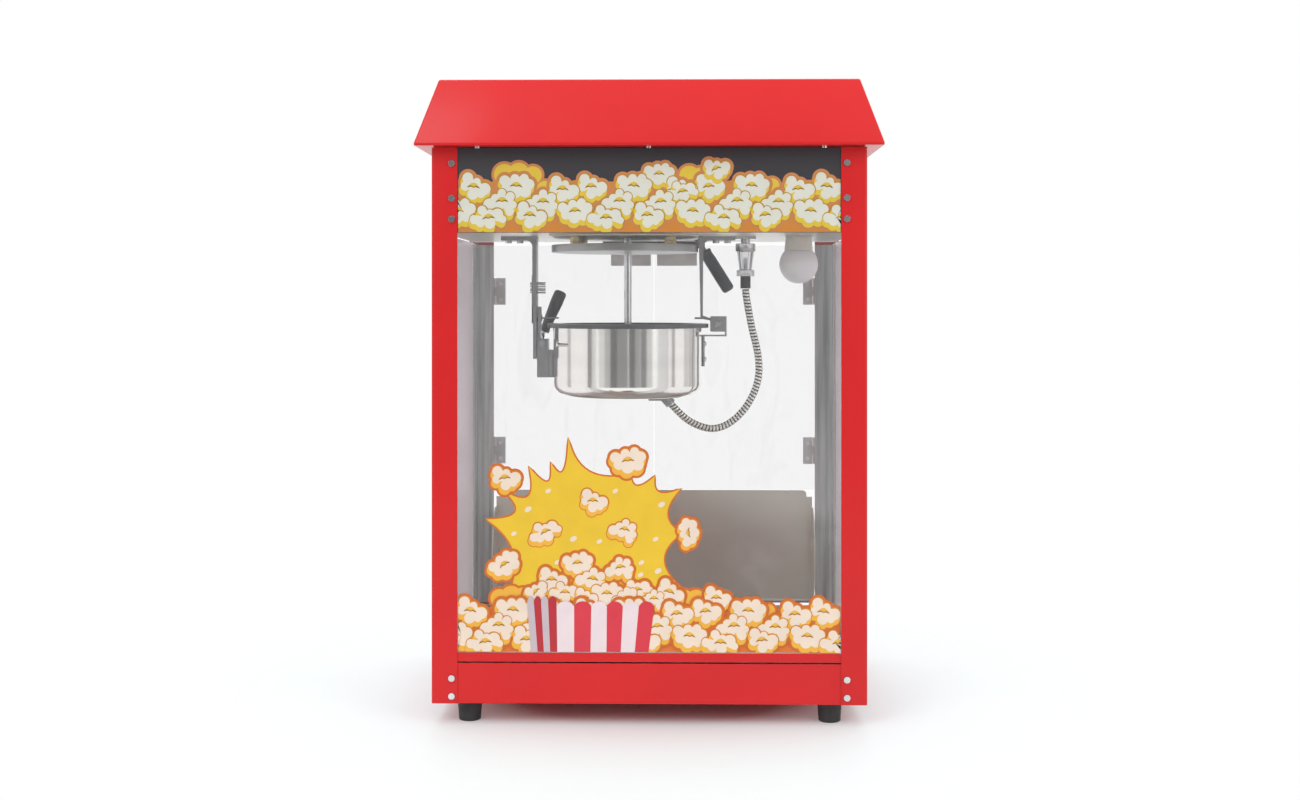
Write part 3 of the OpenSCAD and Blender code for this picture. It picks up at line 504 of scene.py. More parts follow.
class PopcornStage(bpy.types.PropertyGroup):
    key: FloatProperty(
        name="Key light", description="Power of the large light", default=27.0, unit="POWER"
    )
    ambient: FloatProperty(
        name="Ambient", description="Strength of the surrounding light", default=0.70
    )
    shine: FloatProperty(
        name="Shine", description="Strength of the surroundings in reflections", default=1.14
    )
    floor: FloatVectorProperty(
        name="Floor", description="Colour of the floor", subtype="COLOR", size=3,
        default=(0.85, 0.93, 0.94), min=0, max=1,
    )


# ---- pieces ----


def hose_line(samples):
    """Points along the hose's route: a Catmull-Rom curve through the route's points, taken at
    equal distances."""
    route = HOSE_ROUTE
    p = np.vstack([2 * route[0] - route[1], route, 2 * route[-1] - route[-2]])
    t = np.linspace(0, 1, 24, endpoint=False)[None, :, None]
    a, b, c, d = p[:-3, None], p[1:-2, None], p[2:-1, None], p[3:, None]
    curve = 0.5 * (
        2 * b + (c - a) * t + (2 * a - 5 * b + 4 * c - d) * t**2 + (3 * b - a - 3 * c + d) * t**3
    )
    curve = np.vstack([curve.reshape(-1, 2), p[-2]])
    step = np.r_[0, np.cumsum(np.linalg.norm(np.diff(curve, axis=0), axis=1))]
    at = np.linspace(0, step[-1], samples)
    return np.stack([np.interp(at, step, curve[:, 0]), np.interp(at, step, curve[:, 1])], 1), step[-1]


class OBJECT_OT_popcorn_camera(bpy.types.Operator):
    """Level camera in front of the machine, about two metres away"""

    bl_idname = "object.popcorn_camera"
    bl_label = "Camera"

    def execute(self, context):
        data = bpy.data.cameras.new("front_camera")
        data.lens = 44.31
        data.sensor_width = 36.0
        data.shift_y = -0.0754
        data.clip_end = 60
        cam = bpy.data.objects.new("front_camera", data)
        cam.location = (0.0368, -2.0875, 0.503)
        cam.rotation_euler = (math.radians(90), 0, math.radians(1.07))
        context.scene.collection.objects.link(cam)
        context.scene.camera = cam
        return {"FINISHED"}


class OBJECT_OT_popcorn_hose(bpy.types.Operator):
    """Ribbed steel hose from the ceiling connector to the kettle's gland"""

    bl_idname = "object.popcorn_hose"
    bl_label = "Heater hose"

    def execute(self, context):
        """Radius over distance s and angle t: 4.1 plus 0.9 times the square root of the size
        of the sine of half of (2 pi s / pitch + t), which is one helical rib; the same sine
        is kept as the depth of the groove, from which the hose's finish paints shade into the grooves."""
        pitch = context.scene.popcorn_finish.hose_pitch / MM
        line, length = hose_line(1000)
        sides = 22
        d = np.gradient(line, axis=0)
        d = d / np.linalg.norm(d, axis=1)[:, None]
        s = np.linspace(0, length, len(line))[:, None]
        t = np.arange(sides)[None, :] * 2 * np.pi / sides
        wave = np.sqrt(np.abs(np.sin((2 * np.pi * s / pitch + t) / 2)))
        r = HOSE_R + HOSE_RIB * wave
        r[0], r[-1] = HOSE_R + 0.1, HOSE_R + 0.1
        x = line[:, :1] + r * np.cos(t) * d[:, 1:]
        z = line[:, 1:] - r * np.cos(t) * d[:, :1]
        y = r * np.sin(t)
        pts = np.stack([x, y, z], 2).reshape(-1, 3)
        n = len(pts)
        faces = grid_quads(len(line), sides).tolist()
        faces += [list(range(sides)), list(range(n - 1, n - 1 - sides, -1))]
        steel = MATERIALS["conduit"]
        hose = outward(put_mesh("steel_heater_hose", pts, faces, steel))
        # groove depth, read by the conduit's finish to paint shade into the grooves
        groove = hose.data.attributes.new("groove", "FLOAT", "POINT")
        groove.data.foreach_set("value", wave.ravel())
        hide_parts("heater_hose")
        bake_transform(hose)
        return {"FINISHED"}


def rounded_ring(x, y, r, z, arc=5, side=6):
    """One ring of a rounded rectangle: four quarter circles of radius r joined by straight
    sides, each side cut into equal pieces."""
    a = np.linspace(0, np.pi / 2, arc)
    pts = []
    for k in range(4):
        cx, cy = [(1, 1), (-1, 1), (-1, -1), (1, -1)][k]
        c = np.array([cx * (x - r), cy * (y - r)])
        pts.append(c + r * np.stack([np.cos(a + k * np.pi / 2), np.sin(a + k * np.pi / 2)], 1))
    ring = []
    for k in range(4):
        ring.append(pts[k])
        nxt = pts[(k + 1) % 4][0]
        t = np.linspace(0, 1, side + 1)[1:-1, None]
        ring.append(pts[k][-1] * (1 - t) + nxt * t)
    ring = np.vstack(ring)
    return np.column_stack([ring, np.full(len(ring), z)])


class OBJECT_OT_popcorn_roof(bpy.types.Operator):
    """Hipped roof folded from one red sheet, with its hem and return"""

    bl_idname = "object.popcorn_roof"
    bl_label = "Roof"

    def execute(self, context):
        """Rounded rectangles carried along the fold line: flat top, slope, hem, return, and
        back up on the inside of the sheet."""
        lo, hi = [np.array(c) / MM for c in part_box("roof_cover")]
        x, y, top, low = hi[0], hi[1], hi[2], lo[2]
        hem = low + ROOF_HEM
        edge, inner = x - ROOF_INSET, x - 1.6
        out = fillet(
            [[0, top], [edge, top], [x, hem], [x, low], [x - ROOF_RETURN, low]],
            [0, 2.4, 0.8, 0.9, 0], 6,
        )
        inn = fillet(
            [
                [x - ROOF_RETURN, low + 1.2], [inner, low + 1.2], [inner, hem - 0.4],
                [edge - 1.4, top - 1.4], [0, top - 1.4],
            ],
            [0, 0.4, 0.4, 1.2, 0], 4,
        )
        rings = np.vstack([out[1:], inn[:-1]])
        drop = x - rings[:, 0]
        corner = np.where(drop < 30, 2.2, 1.0)
        pts = np.vstack(
            [rounded_ring(px, y - d, r, pz) for (px, pz), d, r in zip(rings, drop, corner)]
        )
        cols = len(pts) // len(rings)
        n = len(pts)
        faces = grid_quads(len(rings), cols).tolist()
        faces += [list(range(cols))[::-1], list(range(n - cols, n))]
        stand_in("roof_cover", "roof_sheet", pts, faces, "paint", "cabinet", "red_paint", 32)
        return {"FINISHED"}


class OBJECT_OT_popcorn_posts(bpy.types.Operator):
    """Four folded red corner angles"""

    bl_idname = "object.popcorn_posts"
    bl_label = "Corner posts"

    def execute(self, context):
        """An angle's outline with a rounded outer and inner bend, carried straight up."""
        lo, hi = [np.array(c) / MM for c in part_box("corner_posts")]
        x, y, t = POST_X, POST_Y, POST_T
        outline = fillet(
            [
                [x - POST_W, y], [x, y], [x, y - POST_W], [x - t, y - POST_W], [x - t, y - t],
                [x - POST_W, y - t], [x - POST_W, y],
            ],
            [0, 2.3, 0.35, 0.35, 0.8, 0.35, 0], 6,
        )[:-1]
        k = len(outline)
        heights = np.linspace(lo[2], hi[2], 12)
        rows = len(heights)
        pts, faces = [], []
        for i, (sx, sy) in enumerate([(1, 1), (-1, 1), (-1, -1), (1, -1)]):
            ring = (outline * [sx, sy])[:: sx * sy]
            first, last = i * k * rows, (i * rows + rows - 1) * k
            pts.append(np.column_stack([np.tile(ring, (rows, 1)), np.repeat(heights, k)]))
            faces += (grid_quads(rows, k) + first).tolist()
            faces += [list(range(first, first + k)), list(range(last, last + k))[::-1]]
        posts = stand_in(
            "corner_posts", "corner_angles", np.vstack(pts), faces, "paint", "cabinet", "red_paint", 28
        )
        posts.visible_glossy = False  # keeps red streaks off the polished kettle
        return {"FINISHED"}


def screw_head(slot=0.85, sides=48):
    """A pan head: its height over radius r is a dome with a rolled edge, less a cross whose
    arms are where the smaller of the two sideways distances is under the slot's half width."""
    r = np.array([0.25, 0.7, 1.2, 1.7, 2.2, 2.6, 2.9, 3.2, 3.5, 3.72, 3.85, SCREW_R, SCREW_R])
    dome = SCREW_H * np.sqrt(np.clip(1 - (r / SCREW_R) ** 4, 0, 1))
    dome[-2:] = [0.25 * SCREW_H, 0.0]
    t = np.arange(sides) * 2 * np.pi / sides
    x, y = r[:, None] * np.cos(t), r[:, None] * np.sin(t)
    arm = np.clip((slot - np.minimum(np.abs(x), np.abs(y))) / 0.25, 0, 1)
    cut = np.clip((0.62 * SCREW_R - np.hypot(x, y)) / 0.35, 0, 1)
    z = dome[:, None] - 0.6 * SCREW_H * arm * cut
    pts = np.stack([x, y, z], 2).reshape(-1, 3)
    pts = np.vstack([pts, [[0, 0, 0.4 * SCREW_H], [0, 0, 0]]])
    return pts, grid_quads(len(r), sides).tolist() + pole_fans(len(r), sides)


class OBJECT_OT_popcorn_screws(bpy.types.Operator):
    """Cross-recess screws of the cabinet, front, back and under the eave"""

    bl_idname = "object.popcorn_screws"
    bl_label = "Screws"

    def execute(self, context):
        """One screw head repeated at each place, each of the posts' turned by its own angle;
        the eave's are a tenth smaller and hang downwards."""
        head, faces = screw_head()
        rng = np.random.default_rng(11)
        pts = []
        for way in (-1, 1):
            for side in (-1, 1):
                for pz in SCREW_Z:
                    a = rng.uniform(0, math.pi / 2)
                    c, d = math.cos(a), math.sin(a)
                    u, v = head[:, 0] * c - head[:, 1] * d, head[:, 0] * d + head[:, 1] * c
                    at = side * (POST_X - SCREW_IN), way * POST_Y, pz
                    pts.append(np.stack([-way * u, way * head[:, 2], v], 1) + at)
        for px in (-203.5, 0, 207.6):
            pts.append(head * [0.9, 0.9, -1] + [px, -POST_Y - 6, EAVE_Z])
        fs = [[v + i * len(head) for v in q] for i in range(len(pts)) for q in faces]
        chrome = MATERIALS["chrome"]
        pts = np.vstack(pts)
        outward(put_mesh("cross_head_screws", pts, fs, chrome, "cabinet", 50))
        return {"FINISHED"}


class OBJECT_OT_popcorn_kettle(bpy.types.Operator):
    """Stainless kettle: outer shell and coated pan with its turned-down rim"""

    bl_idname = "object.popcorn_kettle"
    bl_label = "Kettle"

    def execute(self, context):
        """Two closed profiles turned about the kettle's axis; the pan's lip has its own finish."""
        r, foot, top, t = KETTLE_R, KETTLE_FOOT, KETTLE_TOP, KETTLE_T
        shell = fillet(
            [[0, foot], [r, foot], [r, top], [r - t, top], [r - t, foot + t], [0, foot + t]],
            [0, KETTLE_BEND, 0.5, 0.5, KETTLE_BEND - t, 0], 14,
        )
        pts, faces = lathe(shell, 160)
        pts[:, 0] += KETTLE_X
        look = ("kettle_steel", "kettle", "stainless", 50)
        stand_in("kettle_shell", "kettle_outer_shell", pts, faces, *look)
        r, foot, t, top, lip = PAN_R, PAN_FOOT, PAN_T, RIM_Z, RIM_Z - RIM_LIP
        pan = fillet(
            [
                [0, foot], [r, foot], [r, top], [RIM_R, top], [RIM_R, lip], [RIM_R - 1.4, lip],
                [RIM_R - 1.4, top - t], [r + t, top - t], [r + t, foot - t], [0, foot - t],
            ],
            [0, PAN_BEND, 1.6, 1.4, 0.6, 0.6, 0.5, 0.5, PAN_BEND + 1.4, 0], 10,
        )
        pts, faces = lathe(pan, 160)
        mid = np.array([pts[f].mean(0) for f in faces])
        on_lip = (np.hypot(mid[:, 0], mid[:, 1]) > RIM_R - 2.5) & (mid[:, 2] < top - 0.1)
        pts[:, 0] += KETTLE_X
        look = (("coating", "rim"), "kettle", "pan_coating", 50, on_lip.astype(int))
        stand_in("kettle_pan", "coated_pan", pts, faces, *look)
        return {"FINISHED"}


class OBJECT_OT_popcorn_disc(bpy.types.Operator):
    """Splash disc over the kettle, with its turned-up rim"""

    bl_idname = "object.popcorn_disc"
    bl_label = "Splash disc"

    def execute(self, context):
        """A flat ring with a rounded bend into an upright rim, turned about the shaft."""
        r, z, t, bore = DISC_R, DISC_Z, DISC_T, DISC_BORE
        outline = fillet(
            [
                [50, z], [r, z], [r, z + DISC_RIM], [r - t, z + DISC_RIM], [r - t, z + t],
                [bore, z + t], [bore, z], [50, z],
            ],
            [0, 0.9, 0.4, 0.4, 0.6, 0.3, 0.3, 0], 6,
        )[:-1]
        pts, faces = torus_lathe(outline, 144)
        pts[:, 0] += DISC_X
        look = ("disc_steel", "cabinet", "stainless", 40)
        stand_in("splash_disc", "splash_disc_sheet", pts, faces, *look)
        return {"FINISHED"}


class OBJECT_OT_popcorn_grips(bpy.types.Operator):
    """Two black moulded grips, on the kettle's handle and on the stirrer's lever"""

    bl_idname = "object.popcorn_grips"
    bl_label = "Grips"

    def execute(self, context):
        """A tapered profile with a collar at the foot and a rounded end, turned about the
        grip's own axis."""
        a = math.radians(LEVER_TURN)
        way = np.array([math.sin(a), 0.0, math.cos(a)])
        along = np.subtract(GRIP_TIP, GRIP_FOOT)
        start = LEVER_PIVOT + way * LEVER_REACH
        for name, node, body, foot, line, length, r0 in (
            ("kettle_grip", "tilt_handle_grip", "kettle", GRIP_FOOT, along, np.linalg.norm(along), 7.0),
            ("lever_grip", "lift_grip", "lever", start, way, LEVER_GRIP, 8.5),
        ):
            outline = fillet(
                [
                    [0, 0], [r0 - 0.4, 0], [r0, 3.5], [r0 - 0.9, 6], [r0 - 0.2, 14],
                    [8.5, length * 0.72], [8.4, length], [0, length],
                ],
                [0, 0.8, 1.5, 2.0, 14.0, 30.0, 4.6, 0], 8,
            )
            pts, faces = lathe(outline, 72)
            look = ("black_plastic", body, "black_plastic", 55)
            stand_in(node, name, aim(pts, foot, line), faces, *look)
        return {"FINISHED"}


class OBJECT_OT_popcorn_lamp(bpy.types.Operator):
    """Lamp: white globe on a cream body"""

    bl_idname = "object.popcorn_lamp"
    bl_label = "Lamp"

    def execute(self, context):
        """Globe: a sphere cut where it meets the body. Body: a flared cone and neck."""
        t = np.linspace(-np.pi / 2, math.asin((GLOBE_CUT - GLOBE_Z) / GLOBE_R), 40)
        globe = np.stack([GLOBE_R * np.cos(t), GLOBE_Z + GLOBE_R * np.sin(t)], 1)
        globe = np.vstack([globe, [[17.2, GLOBE_CUT + 0.15], [0, GLOBE_CUT + 0.15]]])
        globe[0, 0] = 0
        body = fillet(
            [
                [0, 569.6], [18.2, 569.6], [18.4, 572], [16.3, 591.6], [14, 596.5], [13.2, 597],
                [13.2, 626], [0, 626],
            ],
            [0, 0.6, 0.8, 8, 2, 0.3, 1.0, 0], 8,
        )
        for node, name, profile, finish, slot in (
            ("lamp_globe", "lamp_diffuser", globe, "lamp_white", "lamp_white"),
            ("lamp_body", "lamp_collar", body, "cream", "ceramic_white"),
        ):
            pts, faces = lathe(profile, 96)
            pts = pts + [LAMP_X, LAMP_Y, 0]
            stand_in(node, name, pts, faces, finish, "cabinet", slot, 40)
        return {"FINISHED"}


class OBJECT_OT_popcorn_connector(bpy.types.Operator):
    """Heater connector's plug: knurled ring, taper and cable nut"""

    bl_idname = "object.popcorn_connector"
    bl_label = "Connector plug"

    def execute(self, context):
        """A closed profile turned about the plug's axis; on the ring and the nut the radius
        loses 0.35 times the size of a cosine of the angle, which cuts the knurls."""
        outline = fillet(
            [
                [6.1, 579], [12.8, 579], [12.8, 568.3], [11, 568.3], [8, 544.6], [11.6, 544.6],
                [11.6, 536.4], [4.9, 536.4], [4.9, 542], [6.1, 576.9], [6.1, 579],
            ],
            [0, 0.9, 0.9, 0.4, 0.8, 0.8, 0.8, 0.3, 0.3, 0.3, 0], 5,
        )[:-1]
        pts, faces = torus_lathe(outline, 144)
        t = np.arctan2(pts[:, 1], pts[:, 0])
        far = np.hypot(pts[:, 0], pts[:, 1])
        ring = (far > 11.4) & (((pts[:, 2] > 568.9) & (pts[:, 2] < 578.4)) | (pts[:, 2] < 544))
        cut = np.where(ring, 1 - 0.35 * np.abs(np.cos(18 * t)) / np.maximum(far, 1), 1.0)
        pts[:, :2] *= cut[:, None]
        pts[:, 0] += PLUG_X
        look = ("chrome", "cabinet", "bright_steel", 35)
        stand_in("connector_plug", "knurled_plug", pts, faces, *look)
        return {"FINISHED"}


# ---- printed graphics ----


def plates(rings, levels, hub=None, thick=0.006):
    """Thin closed plates facing the front, one for each ring of points: a fan on the front,
    a rim, and a fan on the back, each fan running from the hub, or the mean of its ring."""
    count, sides, _ = rings.shape
    levels = np.broadcast_to(np.asarray(levels, float), (count,))
    hub = rings.mean(1) if hub is None else np.asarray(hub, float).reshape(count, 2)

    def at(points, y):
        y = np.broadcast_to(y[:, None], points.shape[:2])
        return np.stack([points[..., 0], y, points[..., 1]], 2)

    front, back = levels - thick, levels
    pts = np.concatenate(
        [at(hub[:, None], front), at(rings, front), at(rings, back), at(hub[:, None], back)], 1
    )
    k = np.arange(sides)
    nxt = (k + 1) % sides
    a, b, last = 1, 1 + sides, 1 + 2 * sides
    tri = np.concatenate(
        [
            np.stack([0 * k, a + nxt, a + k], 1),
            np.stack([a + k, a + nxt, b + nxt], 1),
            np.stack([a + k, b + nxt, b + k], 1),
            np.stack([0 * k + last, b + k, b + nxt], 1),
        ]
    )
    faces = tri[None] + (np.arange(count) * (last + 1))[:, None, None]
    return pts.reshape(-1, 3), faces.reshape(-1, 3)


def discs(centres, radii, sides=28):
    """Rings of points round centres: radius times (cos t, sin t)."""
    t = np.arange(sides) * 2 * np.pi / sides
    return centres[:, None, :] + radii[:, None, None] * np.stack([np.cos(t), np.sin(t)], 1)


def puffed(hub, centres, radii, sides=96):
    """The outline of overlapping round puffs: along each angle from the hub, the furthest
    point that lies in any of them, b + sqrt(r^2 - |c|^2 + b^2), where c is the puff's centre
    from the hub and b is c along the angle."""
    t = np.arange(sides) * 2 * np.pi / sides
    way = np.stack([np.cos(t), np.sin(t)], 1)
    c = centres - hub[:, None]
    b = np.einsum("npj,sj->nps", c, way)
    under = (radii**2 - (c**2).sum(2))[:, :, None] + b**2
    reach = np.where(under > 0, b + np.sqrt(np.maximum(under, 0)), 1.0).max(1)
    return hub[:, None] + reach[..., None] * way


def band_plate(x, low, high, level, thick=0.004):
    """A thin closed plate between two curves low(x) and high(x), cut into columns."""
    n = len(x)
    y0, y1 = np.full(n, level - thick), np.full(n, level)
    rings = [
        np.stack([x, y0, low], 1), np.stack([x, y0, high], 1),
        np.stack([x, y1, high], 1), np.stack([x, y1, low], 1),
    ]
    pts = np.concatenate(rings)
    k = np.arange(n - 1)
    faces = []
    for a in range(4):
        here, there = a * n + k, (a + 1) % 4 * n + k
        faces += np.stack([here, here + 1, there + 1, there], 1).tolist()
    faces += [[0, n, 2 * n, 3 * n], [4 * n - 1, 3 * n - 1, 2 * n - 1, n - 1]]
    return pts, faces


def put_ink(name, parts, material, body="cabinet"):
    """One mesh of several thin plates in one ink."""
    pts, faces, at = [], [], 0
    for p, f in parts:
        f = f.tolist() if isinstance(f, np.ndarray) else f
        faces += [[i + at for i in q] for q in f]
        pts.append(p)
        at += len(p)
    return outward(put_mesh(name, np.vstack(pts), faces, material, body, 25))


# The puffs of four printed flakes: sideways, up and radius, for a flake about 16 mm in radius.
FLAKES = (
    (
        (-7, 9, 7.2), (3, 6, 5), (12, -1, 8), (9, -7, 5), (0, -8, 7), (-9, 0, 6), (1, 0, 7),
        (5, 3, 4),
    ),
    (
        (-13, 5, 7), (-2, 8, 6), (8, 9, 6), (14, 3, 7), (10, -5, 8), (-1, -7, 8), (-10, -3, 7),
        (0, 0, 8),
    ),
    (
        (-14, -3, 7.5), (-7, 3, 6), (0, 9, 5.5), (9, 5, 6), (12, -4, 5), (8, -11, 6), (-3, -5, 6),
        (2, -1, 7),
    ),
    (
        (-6, 9, 6), (2, 5, 5), (10, 3, 7.5), (15, -3, 5), (1, -6, 7), (-15, 0, 6.5), (-9, -4, 6),
        (-3, 0, 7),
    ),
)
# One repeat of the printed border: sideways, up and which flake, from the back to the front.
REPEAT = 140.0
BORDER = (
    (-209, 640, 0), (-103, 637, 0), (-158, 641, 1), (-175, 623, 2), (-126, 622, 2), (-88, 611, 1),
    (-142, 606, 0), (-191, 603, 3),
)
BORDER_SHIFT = (-4, -505)  # from the header's border to the pane's
BURST_HUB = (-70, 218)


def inside(rings, low):
    """Rings held within the print's side edges and above its lower edge."""
    x, z = rings[..., 0], rings[..., 1]
    return np.stack([np.clip(x, -INK_EDGE, INK_EDGE), np.maximum(z, low)], -1)


def print_flakes(name, spots, level, tone, low, halo=0.0):
    """Printed popcorn. Each flake is eight round puffs, turned and placed, in thin layers: a
    wide outline, a fine outline, the shaded puffs a little lower down, the pale puffs, and a
    curl in the middle, whose upper edge is an arch and whose lower edge is two small arches."""
    spots = np.asarray(spots, float)
    hub, size, order = spots[:, :2], spots[:, 3, None, None], spots[:, 5]
    puffs = np.array(FLAKES)[spots[:, 2].astype(int)] * size
    a = np.radians(spots[:, 4])
    turn = np.stack([np.cos(a), -np.sin(a), np.sin(a), np.cos(a)], 1).reshape(-1, 2, 2)
    place = np.einsum("nij,nkj->nki", turn, puffs[:, :, :2]) + hub[:, None]
    shade = place + size * [-1.2, -4.6]
    radius = puffs[:, :, 2]
    at = level - order * 6 * INK_STEP
    u = np.linspace(0, 1, 12)
    arch = np.column_stack([12.5 * (u - 0.5), 4.8 * np.sin(np.pi * u) ** 0.7])
    lower = np.column_stack([12.5 * (u - 0.5), 1.3 * np.abs(np.sin(2 * np.pi * u))])[-2:0:-1]
    curl = np.vstack([arch, lower])[::-1]
    curls, wide = (
        np.einsum("nij,kj->nki", turn, c) * size + hub[:, None]
        for c in (curl, curl * [1.16, 1.1] - [0, 1.2])
    )
    both, twice = np.concatenate([place, shade], 1), np.concatenate([radius, radius], 1)
    pale = place * 1.03 - hub[:, None] * 0.03
    layers = {
        "line": (puffed(hub, both, twice + 0.35), at),
        "yellow": (puffed(hub, shade, radius), at - INK_STEP),
        "cream": (puffed(hub, pale, radius * 0.84), at - 2 * INK_STEP),
        "mark": (wide, at - 3 * INK_STEP),
        "curl": (curls, at - 4 * INK_STEP),
    }
    if halo > 0:
        layers["halo"] = (puffed(hub, both, twice + halo), level + INK_STEP * (1 - order / 20))
    for key, (rings, y) in layers.items():
        put_ink(f"{name}_{key}", [plates(inside(rings, low), y)], INKS[tone + key])


def border_spots(shift, jitter, seed):
    """The border's repeat laid side by side across the print, each flake a little different."""
    rng = np.random.default_rng(seed)
    spots = []
    for k in range(-1, 4):
        for order, (x, z, kind) in enumerate(BORDER):
            px = x + k * REPEAT + shift[0]
            if abs(px) < INK_EDGE + 8:
                size, turn = rng.uniform(1.0, 1.08), rng.uniform(-jitter, jitter)
                spots.append((px, z + shift[1], kind, size, turn, order))
    return spots


def print_band(name, level, low, mid, period, samples, key):
    """A band across the print, whose upper edge is a sum of two sines."""
    x = np.linspace(-INK_EDGE, INK_EDGE, samples)
    high = mid + 3 * np.sin(x / 15) + 2 * np.sin(x / period + 1)
    put_ink(name, [band_plate(x, np.full(samples, low), high, level)], INKS[key])


def print_bumps(name, rows, layers, tone, low):
    """Round bumps (sideways, up, radius) in layers of ink (key, growth, level). Each bump is
    a little in front of the one before."""
    rows = np.array(rows, float)
    for key, grow, level in layers:
        rings = inside(discs(rows[:, :2], rows[:, 2] + grow), low)
        steps = level - np.arange(len(rows)) * BUMP_STEP
        put_ink(f"{name}_{key}", [plates(rings, steps)], INKS[tone + key])


class OBJECT_OT_popcorn_header_print(bpy.types.Operator):
    """Popcorn border printed along the foot of the black header panel"""

    bl_idname = "object.popcorn_header_print"
    bl_label = "Header print"

    def execute(self, context):
        """An orange band whose upper edge is a sum of two sines, golden bumps behind, and the
        border's flakes in front."""
        s = context.scene.popcorn_print
        # The header's inks carry painted shade: they are the print's colours, darker and greener than
        # on the pane, for the roof's shade over the header.
        face, low, slot = PANEL_Y, HEADER_FOOT, "black_panel"
        print_band("header_band", face - 0.002, low, 645, 7.3, 90, "header_orange")
        bumps = [
            (-172, 655, 12.5), (-155, 657, 12), (-138, 654, 10.5), (-124, 637, 10), (48, 653, 12),
            (62, 652, 11), (30, 640, 12), (-92, 634, 9), (146, 641, 9), (-222, 632, 9), (198, 628, 9),
        ]
        layers = (("halo", 3.2, face - 0.014), ("yellow", 0.0, face - 0.05))
        print_bumps("header_bump", bumps, layers, "header_", low)
        spots = border_spots((0, 0), s.jitter, s.seed)
        spots += [(12, 655, 1, 0.92, 0, 0), (80, 661, 0, 0.9, 20, 1), (40, 634, 3, 0.95, 10, 2)]
        print_flakes("header_flake", spots, face - 0.11, "header_", low, 3.2)
        return {"FINISHED"}


